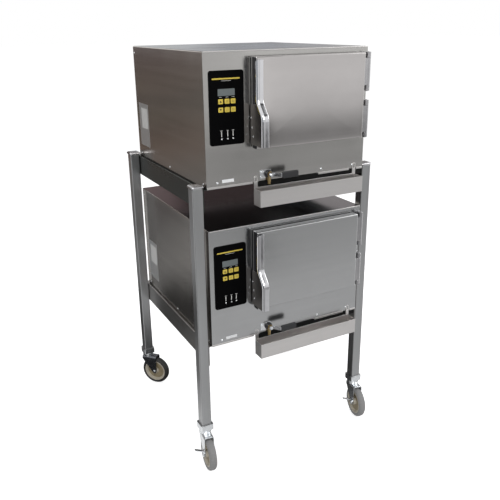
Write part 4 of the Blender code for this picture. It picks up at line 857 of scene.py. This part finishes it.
ON_KEY = np.array([0.0, 0.0, KEY[3]])
LENS = [(0.0030, 0.0), (0.0030, 0.0006), (0.0022, 0.0016), (0.0008, 0.0019)]
DASH_Z, RULE_Z, LAMP_Z, STEM_Z, HEAD_Z = 0.337, 0.3945, 0.186, 0.204, 0.2165
for unit in UNITS:
    ink = []
    for z, up in zip(KEY_ROWS, (1, -1)):
        ink.append(on_panel(unit, KEY_COLUMNS[0], z, wedge(0.0090, 0.0075, 0.0003, up) + ON_KEY))
        for x in KEY_COLUMNS[1:]:
            for offset in (-0.0022, 0.0022):
                ink.append(on_panel(unit, x, z + offset, stroke(0.0105, 0.0011) + ON_KEY))
    skin(unit + "_key_marks", ink, DARK_INK)
    pale = [on_panel(unit, x, DASH_Z, stroke(0.0110, 0.0012)) for x in KEY_COLUMNS]
    pale.append(on_panel(unit, PANEL_MIDDLE, RULE_Z, stroke(0.040, 0.0011)))
    for x in LAMP_COLUMNS:
        pale.append(on_panel(unit, x, STEM_Z, stroke(0.0030, 0.020)))
        pale.append(on_panel(unit, x, HEAD_Z, stroke(0.0095, 0.0016)))
    skin(unit + "_pale_marks", pale, PALE_INK)
    lens = turned(LENS, 24)
    skin(unit + "_lamps", [on_panel(unit, x, LAMP_Z, lens) for x in LAMP_COLUMNS], LABEL)

# %% [markdown]
# ## Drain valve
# A small brass body on a steel plate, with a black ring, a spout over the tray, and a lever whose
# black plastic sleeve the cook turns. Round parts are profiles turned about their axis.

# %% Valve bodies
VALVE_X, VALVE_Z, SPOUT_OUT = 0.037, 0.033, 0.0088
BARREL = [(0.0004, -0.018), (0.008, -0.018), (0.008, 0.001), (0.0125, 0.001), (0.014, 0.004)]
SPOUT = [(0.0004, 0.040), (0.0036, 0.040), (0.0057, 0.040), (0.0057, 0.0300), (0.0070, 0.0285)]
SPOUT += [(0.0070, 0.0068), (0.0004, 0.0068)]
VALVE_PLATE = (0.049, 0.034, 0.003, 0.0015, 0.0004)
RING = [(0.0142, 0.0016), (0.0162, 0.0016), (0.0166, 0.0030), (0.0162, 0.0048), (0.0142, 0.0050)]
for unit in UNITS:
    node = unit + "_drain_valve_body"
    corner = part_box(node)[0]
    x, z, reach = corner.x + VALVE_X, BASE[unit] + VALVE_Z, FASCIA - corner.y
    axis = (x, FASCIA, z)
    nose = [(0.014, 0.0045), (0.014, 0.0120), (0.0120, reach)]
    nose += [(0.0052, reach), (0.0052, 0.0090), (0.0004, 0.0090)]
    profile = np.concatenate([filleted(BARREL, 0.0006, 3), filleted(nose, 0.0006, 3)])
    down = placed(turned(filleted(SPOUT, 0.0004, 3)), (x, FASCIA - SPOUT_OUT, z), *UPRIGHT)
    down[..., 2] = 2 * z - down[..., 2]
    grids = [placed(turned(profile), axis, *FRONT), down]
    brass = skin(unit + "_valve_brass", grids, BRASS, node=node)
    middles = values_of(brass.data.polygons, "center")
    outer_ring = np.hypot(middles[:, 0] - x, middles[:, 2] - z) > 0.0095
    outer_ring &= (middles[:, 2] > z - 0.0145) & (middles[:, 1] < FASCIA - 0.0030)
    second_finish(brass, BLACK_PLASTIC, outer_ring)
    plate_place = (x - 0.0125, FASCIA, z)
    pad_on(unit + "_valve_plate", VALVE_PLATE, plate_place, FRONT, ZINC, node=node)
    skin(unit + "_valve_ring", [placed(turned(RING), axis, *FRONT)], BLACK_PLASTIC, ring=True)
    places = [((x - 0.031, FASCIA - VALVE_PLATE[3], z + up), FRONT) for up in (-0.010, 0.010)]
    screws(unit + "_valve_screws", places, "root", 0.0036, 0.0016)
print("valve at x", round(x, 4))

# %% Drain levers
LEVER, LEVER_HALF = 0.0025, 0.0075
SLEEVE_START, SLEEVE_OUT = 0.034, 0.048
SLEEVE = (0.026, 0.006, 0.008, 0.0028, 0.0006, 4)
NUT = [(0.0006, -0.0005), (0.0077, -0.0005), (0.0077, 0.0042), (0.0070, 0.0050)]
NUT += [(0.0045, 0.0050), (0.0043, 0.0070), (0.0006, 0.0072)]
STEM = [(0.0006, -0.0148), (0.0044, -0.0148), (0.0044, 0.0), (0.0006, 0.0)]
for unit in UNITS:
    node = unit + "_drain_valve_lever"
    body = unit + "_drain_lever"
    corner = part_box(unit + "_drain_valve_body")[0]
    x, z, back = corner.x + VALVE_X, BASE[unit] + VALVE_Z, corner.y - 0.008
    inside = FASCIA - SLEEVE_OUT - 0.004 + LEVER / 2
    bend = filleted([(-LEVER_HALF, back), (0.0115, back), (0.030, inside), (0.101, inside)], 0.004)
    strap = between(thickened(bend, LEVER) + [x, 0.0], 2, z - LEVER_HALF, z + LEVER_HALF)
    skin(unit + "_lever_strap", [strap], LEVER_STEEL, body, node, angle=30, edge=0.0006)
    nut = placed(turned(NUT, 6), (x, back - LEVER, z), *FRONT)
    stem = placed(turned(STEM, 24), (x, back, z), *FRONT)
    skin(unit + "_lever_nut", [nut, stem], ZINC, body, node)
    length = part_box(node)[1].x - x - SLEEVE_START
    place = (x + SLEEVE_START + length / 2, FASCIA - SLEEVE_OUT, z)
    pad_on(unit + "_lever_sleeve", (length, *SLEEVE), place, FRONT, BLACK_PLASTIC, body, node)
print("sleeve length", round(length, 4))

# %% [markdown]
# ## Labels and plates
# The left side carries a foil rating plate, kept bare, and the fascia a small white label. Both are
# thin pads on the sheet, because a real plate has an edge that shows.

# %% Plates
PLATE = (0.121, 0.192, 0.004, 0.0006, 0.0003)
BARE_FIELD = (0.080, 0.090, 0.002, 0.0003, 0.0001)
SMALL_LABEL = (0.050, 0.0125, 0.001, 0.0003, 0.0001)
for unit in UNITS:
    base = BASE[unit]
    pad_on(unit + "_side_plate", PLATE, (-SIDE, FASCIA + 0.6745, base + 0.154), LEFT, FOIL)
    field_place = (-SIDE - PLATE[3], FASCIA + 0.664, base + 0.185)
    pad_on(unit + "_side_plate_field", BARE_FIELD, field_place, LEFT, PLATE_FIELD)
    label_place = (PANEL_MIDDLE, FASCIA, base + 0.026)
    pad_on(unit + "_fascia_label", SMALL_LABEL, label_place, FRONT, LABEL)
print("plates", 3 * len(UNITS))

# %% [markdown]
# ## Casters
# Each wheel is a moulded rim with a rubber tyre, both turned about the axle. The fork is one sheet
# pressed to a U over the wheel, and the swivel head above it is one turned profile.

# %% Wheels
WHEEL = 0.073
UP = np.array([0.0, 0.0, 1.0])
RIM_PROFILE = [
    (0.0054, 0.017), (0.0150, 0.017), (0.0160, 0.0155), (0.0175, 0.0045), (0.0200, 0.0040),
    (0.0460, 0.0040), (0.0495, 0.0060), (0.0510, 0.0130), (0.0520, 0.0140), (0.0569, 0.0140),
]
TYRE_PROFILE = [
    (0.0572, 0.0140), (0.0600, 0.0146), (0.0640, 0.0164), (0.0668, 0.0158), (0.0700, 0.0128),
    (0.0720, 0.0096), (0.0728, 0.0060), (0.0730, 0.0020),
]
DISC = (0.017, 0.0475)


def both_sides(profile):
    """A profile of one half (radius, h), mirrored to h < 0 to close a ring."""
    half = np.array(profile)
    return np.concatenate([half, (half * (1, -1))[::-1]])


for label in CORNERS:
    caster = f"caster_{label}_"
    roll = JOINTS[caster + "roll"]
    axle, along = np.array(roll["pos_m"]), np.array(roll["axis"])
    facing = (np.cross(UP, along), UP)
    rim = placed(turned(both_sides(RIM_PROFILE), 96), axle, *facing)
    piece = skin(caster + "rim", [rim], RIM, caster + "wheel", caster + "wheel_hub", ring=True)
    middles = values_of(piece.data.polygons, "center") - axle
    out = np.linalg.norm(middles - (middles @ along)[:, None] * along, axis=1)
    # The dish between the two radii takes the darker tan: painted shade in the recess.
    second_finish(piece, RIM_DISH_PAINTED_SHADE, (out > DISC[0]) & (out < DISC[1]))
    tyre = placed(turned(both_sides(TYRE_PROFILE), 96), axle, *facing)
    rubber = TREAD if label.startswith("front") else DARK_TREAD
    skin(caster + "tread", [tyre], rubber, caster + "wheel", caster + "tyre", ring=True)
print("wheel radius", WHEEL)


# %% Forks
TRAIL, BOSS = 0.042, 0.013
CHEEK_FRONT, CHEEK_BACK, CHEEK_TOP = -0.0290, 0.024, 0.140
FORK_HALF, FORK_TOP, FORK_BEND, FORK_WALL = 0.0200, 0.1565, 0.008, 0.003


def cheek_bottom(y):
    """Lower edge of a cheek at y behind the swivel: round the axle, then straight up to the back.

    Round the axle it is z = axle - sqrt(R^2 - (y + trail)^2), to 40 degrees up the boss.
    """
    corner, start = -TRAIL + 0.766 * BOSS, WHEEL - 0.643 * BOSS
    around = WHEEL - np.sqrt(np.clip(BOSS**2 - (y + TRAIL) ** 2, 0, None))
    share = np.clip((y - corner) / (CHEEK_BACK - corner), 0, 1)
    return np.where(y < corner, around, start + (CHEEK_TOP - start) * share)


def fork_grid():
    """The bent sheet as (x, y, z): up the left cheek, round two bends of radius R and down the right.

    A bend is x = -half + R - R cos a and z = top - R + R sin a, and is mirrored for the right.
    """
    t = np.linspace(0, math.pi, 15)[:12]
    y = np.concatenate([-TRAIL - BOSS * np.cos(t), np.linspace(CHEEK_FRONT, CHEEK_BACK, 8)])
    low = cheek_bottom(y)
    cheek = (low + (FORK_TOP - FORK_BEND - low) * np.linspace(0, 1, 8)[:, None]).T
    a = np.linspace(0, math.pi / 2, 6)[1:]
    arc_x = np.tile(-FORK_HALF + FORK_BEND - FORK_BEND * np.cos(a), (len(y), 1))
    arc_z = np.tile(FORK_TOP - FORK_BEND + FORK_BEND * np.sin(a), (len(y), 1))
    left = np.concatenate([np.full_like(cheek, -FORK_HALF), arc_x], axis=1)
    height = np.concatenate([cheek, arc_z], axis=1)
    x = np.concatenate([left, -left[:, ::-1]], axis=1)
    z = np.concatenate([height, height[:, ::-1]], axis=1)
    return np.stack([x, np.broadcast_to(y[:, None], x.shape), z], axis=2)


def sheet(name, grid, thickness, material, body, node):
    """An open grid given the thickness of its sheet, half to each side, with rounded edges."""
    rows, columns = grid.shape[:2]
    index = np.arange(rows * columns).reshape(rows, columns)
    quads = np.stack([index[:-1, :-1], index[:-1, 1:], index[1:, 1:], index[1:, :-1]], axis=-1)
    data = bpy.data.meshes.new(name)
    data.from_pydata(grid.reshape(-1, 3), [], quads.reshape(-1, 4).tolist())
    piece = add_piece(name, data, material, body)
    wall = piece.modifiers.new("sheet", "SOLIDIFY")
    wall.thickness = thickness
    wall.offset = 0.0
    bevelled(piece, 0.0005, 50, segments=1)
    even_normals(piece)
    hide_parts(node)


FORK = fork_grid()
SWIVEL_HEAD = [
    (0.0005, 0.1560), (0.0240, 0.1560), (0.0240, 0.1612), (0.0262, 0.1630), (0.0270, 0.1648),
    (0.0270, 0.1718), (0.0262, 0.1740), (0.0240, 0.1747), (0.0080, 0.1747), (0.0080, 0.1880),
    (0.0005, 0.1880),
]
BOLT_HEAD = [(0.0005, 0.0214), (0.0078, 0.0214), (0.0078, 0.0246), (0.0070, 0.0255), (0.0005, 0.0255)]
BOLT_NUT = [(0.0005, 0.0), (0.0070, 0.0), (0.0078, 0.0009), (0.0078, 0.0036), (0.0005, 0.0036)]
BOLT_SHANK = [(0.0005, -0.027), (0.0048, -0.027), (0.0048, 0.022), (0.0005, 0.022)]
for label in CORNERS:
    caster = f"caster_{label}_"
    node = caster + "fork"
    body = caster + "fork_body"
    roll = JOINTS[caster + "roll"]
    along = np.array(roll["axis"])
    behind = np.cross(UP, along)
    flat = np.array(JOINTS[caster + "swivel"]["pos_m"]) * (1, 1, 0)
    fork = flat + FORK @ np.array([along, behind, UP])
    # The rear forks take the darker zinc: painted shade.
    fork_zinc = ZINC if label.startswith("front") else ZINC_PAINTED_SHADE
    sheet(caster + "fork_sheet", fork, FORK_WALL, fork_zinc, body, node)
    braked = caster + "brake_press" in JOINTS
    nut = np.array(BOLT_NUT) - (0.0, 0.0300 if braked else 0.0255)
    bolt = [turned(BOLT_HEAD, 6), turned(nut, 6), turned(BOLT_SHANK, 24)]
    grids = [placed(turned(SWIVEL_HEAD), flat, *UPRIGHT)]
    grids += [placed(grid, roll["pos_m"], behind, UP) for grid in bolt]
    skin(caster + "swivel_head", grids, ZINC, body, node)
    if braked:
        finished_copy(caster + "brake_lever", ZINC, 0.0008)
print("fork stations", len(FORK))

# %% [markdown]
# ## Floor, light and camera
# Steel shows what stands round it, so half of its look is the studio. The floor and the background
# are white to the camera and to glossy rays, and soft cards give the sides and doors their tones.

# %% World
def direct_rays(tree):
    """1 for camera, glossy and transmission rays, and 0 for the diffuse light that falls on things."""
    paths = tree.nodes.new("ShaderNodeLightPath")
    seen = combined(tree, paths.outputs["Is Camera Ray"], paths.outputs["Is Glossy Ray"], clamp=True)
    return combined(tree, seen, paths.outputs["Is Transmission Ray"], clamp=True)


scene = bpy.context.scene
scene.view_settings.view_transform = "Standard"
world = bpy.data.worlds.new("studio")
scene.world = world
world.use_nodes = True
tree = world.node_tree
sky = tree.nodes["Background"]
tree.links.new(spread(tree, direct_rays(tree), 0, 1, 0.42, 1.0), sky.inputs["Strength"])
sky.inputs["Color"].default_value = (1.0, 1.0, 1.0, 1.0)
print("world", world.name)


# %% Floor
def flat_piece(name, corners, material):
    """A four-cornered stage piece."""
    data = bpy.data.meshes.new(name)
    data.from_pydata(corners, [], [(0, 1, 2, 3)])
    data.materials.append(material)
    piece = bpy.data.objects.new(name, data)
    scene.collection.objects.link(piece)
    return piece


def floor_material():
    """Pale, and lifted to white for the camera, glossy and transmission rays, with its shadow kept."""
    made, tree, shader = new_material("pale floor", 0.9, 0.0, [("Specular IOR Level", 0.0)])
    shader.inputs["Base Color"].default_value = (0.80, 0.80, 0.80, 1.0)
    shader.inputs["Emission Color"].default_value = (1.0, 1.0, 1.0, 1.0)
    tree.links.new(spread(tree, direct_rays(tree), 0, 1, 0.0, 0.70), shader.inputs["Emission Strength"])
    return made


FAR = 60
corners = [(-FAR, -FAR, 0), (FAR, -FAR, 0), (FAR, FAR, 0), (-FAR, FAR, 0)]
floor = flat_piece("floor", corners, floor_material())
print("floor", floor.name)

# %% [markdown]
# ## Cards round the object
# A photographer hangs white and grey cards to shape the reflections in steel. Here each card glows,
# is seen by glossy rays only, and changes its tone along one axis, like a card lit from one end.


# %% Card helpers
def rgba(tone):
    """A tone is a colour of three parts, or one number for a grey."""
    return (*tone, 1.0) if isinstance(tone, tuple) else (tone, tone, tone, 1.0)


def card_material(name, axis, stops):
    """A glow whose tone changes along one axis (0, 1, 2) through (place in metres, tone) stops."""
    made = bpy.data.materials.new(name)
    made.use_nodes = True
    tree = made.node_tree
    tree.nodes.remove(tree.nodes["Principled BSDF"])
    point = node_value(tree, "TexCoord", {}, "Object")
    along = node_value(tree, "SeparateXYZ", {"Vector": point}, axis)
    low, high = stops[0][0], stops[-1][0]
    ramp = tree.nodes.new("ShaderNodeValToRGB")
    ramp.color_ramp.elements.remove(ramp.color_ramp.elements[1])
    ramp.color_ramp.elements[0].color = rgba(stops[0][1])
    for place, tone in stops[1:]:
        ramp.color_ramp.elements.new((place - low) / (high - low)).color = rgba(tone)
    tree.links.new(spread(tree, along, low, high), ramp.inputs["Fac"])
    glow = node_value(tree, "Emission", {"Color": ramp.outputs["Color"]}, "Emission")
    tree.links.new(glow, tree.nodes["Material Output"].inputs["Surface"])
    return made


def card(name, corners, axis, stops):
    """A flat card that only glossy rays see, so that it tones the steel and nothing else."""
    piece = flat_piece(name, corners, card_material(name + "_tone", axis, stops))
    for rays in ("camera", "diffuse", "shadow", "transmission", "volume_scatter"):
        setattr(piece, "visible_" + rays, False)


def wall(name, left, right, y, top, stops, bottom=0.0, axis=2):
    """A card standing across the room, toned by height unless another axis is given."""
    corners = [(left, y, bottom), (right, y, bottom), (right, y, top), (left, y, top)]
    card(name, corners, axis, stops)


def ground(name, left, right, front, back, rise, stops, axis=1):
    """A level card, toned from front to back unless another axis is given."""
    corners = [(left, front, rise), (right, front, rise), (right, back, rise), (left, back, rise)]
    card(name, corners, axis, stops)


# %% Cards at the left and under the stand
CARD_TOP, LEFT_END, JUST_OVER = 2.4, 1.35, 0.004
LEFT_NEAR = [
    (0.0, 0.035), (0.03, 0.045), (0.11, 0.12), (0.18, 0.20), (0.26, 0.25),
    (0.33, 0.23), (0.48, 0.20), (0.62, (0.135, 0.128, 0.13)), (0.80, (0.18, 0.17, 0.165)),
    (0.96, (0.215, 0.185, 0.17)), (1.06, (0.20, 0.155, 0.13)), (1.18, (0.155, 0.125, 0.11)),
    (1.29, (0.18, 0.155, 0.13)), (1.35, (0.14, 0.12, 0.11)), (1.45, (0.18, 0.15, 0.13)),
    (1.71, (0.14, 0.11, 0.11)), (1.74, 1.1), (2.4, 1.1),
]
LEFT_FAR = [
    (0.0, 0.28), (0.10, 0.42), (0.25, 0.46), (0.40, 0.40), (0.70, 0.27),
    (0.85, (0.20, 0.19, 0.18)), (0.92, (0.27, 0.25, 0.23)), (1.0, (0.24, 0.20, 0.18)),
    (1.25, (0.25, 0.22, 0.20)), (1.32, (0.175, 0.17, 0.16)), (1.45, (0.20, 0.175, 0.16)),
    (1.71, (0.25, 0.22, 0.21)), (1.74, 1.1), (2.4, 1.1),
]
wall("card_left_near", -1.03, -0.20, LEFT_END, CARD_TOP, LEFT_NEAR)
wall("card_left_far", -4.0, -1.03, LEFT_END, CARD_TOP, LEFT_FAR)
LEFT_FLOOR = [
    (-0.6, 0.95), (-0.1, 0.85), (0.13, 0.47), (0.30, 0.38), (0.50, 0.28),
    (0.65, 0.16), (0.80, 0.07), (0.95, 0.035), (1.26, 0.03), (1.35, 0.05),
]
ground("card_floor_left", -2.4, -0.42, -0.6, LEFT_END, JUST_OVER, LEFT_FLOOR)
ground("card_floor_spot", -0.75, -0.45, 0.26, 0.60, 0.007, [(0.26, 0.05), (0.60, 0.05)])
UNDER_FLOOR = [(-0.5, 0.60), (-0.33, 0.45), (-0.22, 0.08), (-0.1, 0.035), (1.35, 0.035)]
ground("card_floor_under", -0.42, 1.6, -0.5, LEFT_END, JUST_OVER, UNDER_FLOOR)
print("lowest card rises", JUST_OVER)

# %% Cards in front
FRONT_END, STRAP_RISE = -4.0, 0.008
FRONT_FLOOR = [
    (-4.0, 0.50), (-3.6, 0.44), (-3.0, 0.42), (-2.68, 0.46), (-2.1, 0.57),
    (-1.7, 0.62), (-1.4, 0.64), (-1.25, 0.62), (-0.9, 0.58), (-0.5, 0.70),
]
ground("card_floor_front", -0.6, 5.0, FRONT_END, -0.5, JUST_OVER, FRONT_FLOOR)
ground("card_floor_front_left", -3.5, -0.6, FRONT_END, -0.6, JUST_OVER, [(-4.0, 0.34), (-0.6, 0.34)])
STRAP_CORNERS = ((0.86, -2.37), (1.02, -2.37), (1.36, -2.97), (1.20, -2.97))
strap_band = [(x, y, STRAP_RISE) for x, y in STRAP_CORNERS]
card("card_floor_strap", strap_band, 1, [(-2.97, 0.05), (-2.37, 0.05)])
FRONT_WALL = [
    (0.0, 0.68), (0.12, 0.62), (0.26, 0.37), (0.50, 0.38), (0.58, 0.31),
    (0.66, 0.28), (0.72, 0.32), (0.745, 0.56), (0.775, 0.56), (0.80, 0.43),
    (0.83, 0.50), (0.88, 0.72), (0.95, 0.78), (1.10, 0.84), (1.25, 0.91),
    (1.40, 0.90), (1.55, 0.86), (2.4, 0.90),
]
wall("card_front", 1.65, 6.0, FRONT_END, CARD_TOP, FRONT_WALL)
GRIP_WALL = [(0.0, 0.45), (0.35, 0.05), (0.80, 0.05), (0.90, 0.60), (1.0, 0.95), (2.4, 1.0)]
wall("card_front_grip", 1.72, 1.92, -3.98, CARD_TOP, GRIP_WALL)
FRONT_LEFT_WALL = [(0.0, 0.48), (0.26, 0.36), (0.55, 0.38), (0.78, 0.40), (0.92, 0.70), (2.4, 0.70)]
wall("card_front_left", -1.5, 1.65, FRONT_END, CARD_TOP, FRONT_LEFT_WALL)
FAR_LEFT_WALL = [(0.0, 0.36), (0.80, 0.36), (1.0, 1.0), (3.0, 1.0)]
wall("card_front_far_left", -3.5, -1.5, FRONT_END, 3.0, FAR_LEFT_WALL)
CORNER_WALL = [(0.0, 0.05), (0.9, 0.06), (1.2, (0.20, 0.23, 0.26)), (3.0, (0.20, 0.23, 0.26))]
CORNER_PLACES = [(-3.5, -4.0, 0.0), (-3.5, -0.6, 0.0), (-3.5, -0.6, 3.0), (-3.5, -4.0, 3.0)]
card("card_corner", CORNER_PLACES, 2, CORNER_WALL)
print("front cards stand at y", FRONT_END)

# %% Cards behind, between and overhead
BACK_END, OVERHEAD_Z = 4.2, 3.5
BACK_HIGH = [
    (-5.0, (0.60, 0.62, 0.64)), (1.2, (0.58, 0.60, 0.61)), (1.5, (0.56, 0.58, 0.60)),
    (1.75, (0.48, 0.50, 0.52)), (2.0, (0.39, 0.42, 0.45)), (2.6, (0.39, 0.41, 0.44)),
    (3.2, (0.48, 0.49, 0.51)), (3.6, 0.55), (8.0, 0.55),
]
wall("card_back_high", -5.0, 8.0, BACK_END, 2.2, BACK_HIGH, bottom=1.3, axis=0)
BACK_TOP = [(2.2, (0.33, 0.30, 0.30)), (6.0, (0.28, 0.26, 0.26))]
wall("card_back_top", -5.0, 8.0, BACK_END, 6.0, BACK_TOP, bottom=2.2)
BETWEEN = [
    (-0.36, (0.20, 0.15, 0.15)), (-0.22, (0.15, 0.11, 0.11)),
    (-0.10, (0.055, 0.04, 0.04)), (0.36, (0.05, 0.036, 0.036)),
]
wall("card_between", -0.36, 0.36, 0.43, 1.235, BETWEEN, bottom=1.065, axis=0)
OVERHEAD = [(0.4, 0.10), (1.42, 0.08)]
ground("card_overhead_near", 0.4, 1.42, -2.8, -1.3, OVERHEAD_Z, OVERHEAD, axis=0)
ground("card_overhead_far", 0.4, 1.05, -1.3, -0.65, OVERHEAD_Z, OVERHEAD, axis=0)

# %% [markdown]
# ## Lamps
# Three large soft lamps light the parts that aren't steel and cast the soft shadow on the floor. The
# one behind would show as a bright square in the steel, so glossy rays don't see it.


# %% Lamps
def lamp(name, place, aim, size, power):
    """A square area lamp at a place, turned to a point."""
    data = bpy.data.lights.new(name, "AREA")
    data.shape = "SQUARE"
    data.size = size
    data.energy = power
    piece = bpy.data.objects.new(name, data)
    scene.collection.objects.link(piece)
    turn = (Vector(aim) - Vector(place)).to_track_quat("-Z", "Y").to_matrix().to_4x4()
    piece.matrix_world = Matrix.Translation(place) @ turn
    return piece


lamp("lamp_front", (-1.8, -3.6, 3.4), (0, 0, 0.9), 2.6, 90)
lamp("lamp_right", (3.4, -1.6, 3.0), (0, 0, 0.9), 2.2, 60)
lamp("lamp_back", (0.5, 3.2, 3.4), (0, 0, 1.2), 2.2, 50).visible_glossy = False
print("lamps", len(bpy.data.lights))

# %% [markdown]
# ## Camera
# The view was solved from the straight edges in the photo. It gives three turns in degrees, a focal
# length and a middle in pixels of the square image, and the camera's place in metres.

# %% Camera
YAW, PITCH, ROLL = math.radians(27.95), math.radians(19.03), math.radians(0.68)
IMAGE, FOCAL, CENTRE_X, CENTRE_Y = 500, 607.99, 249.34, 233.44
EYE = (-1.2526, -2.3669, 1.8183)
ahead = Vector((math.sin(YAW) * math.cos(PITCH), math.cos(YAW) * math.cos(PITCH), -math.sin(PITCH)))
level_right = Vector((math.cos(YAW), -math.sin(YAW), 0.0))
level_down = ahead.cross(level_right)
right = level_right * math.cos(ROLL) + level_down * math.sin(ROLL)
down = level_down * math.cos(ROLL) - level_right * math.sin(ROLL)
view = bpy.data.cameras.new("camera")
view.sensor_width = 36.0
view.lens = FOCAL / IMAGE * view.sensor_width
view.shift_x = (IMAGE / 2 - CENTRE_X) / IMAGE
view.shift_y = (CENTRE_Y - IMAGE / 2) / IMAGE
camera = bpy.data.objects.new("camera", view)
scene.collection.objects.link(camera)
axes = Matrix((right, -down, -ahead)).transposed().to_4x4()
camera.matrix_world = Matrix.Translation(EYE) @ axes
scene.camera = camera
print("lens", round(view.lens, 2))
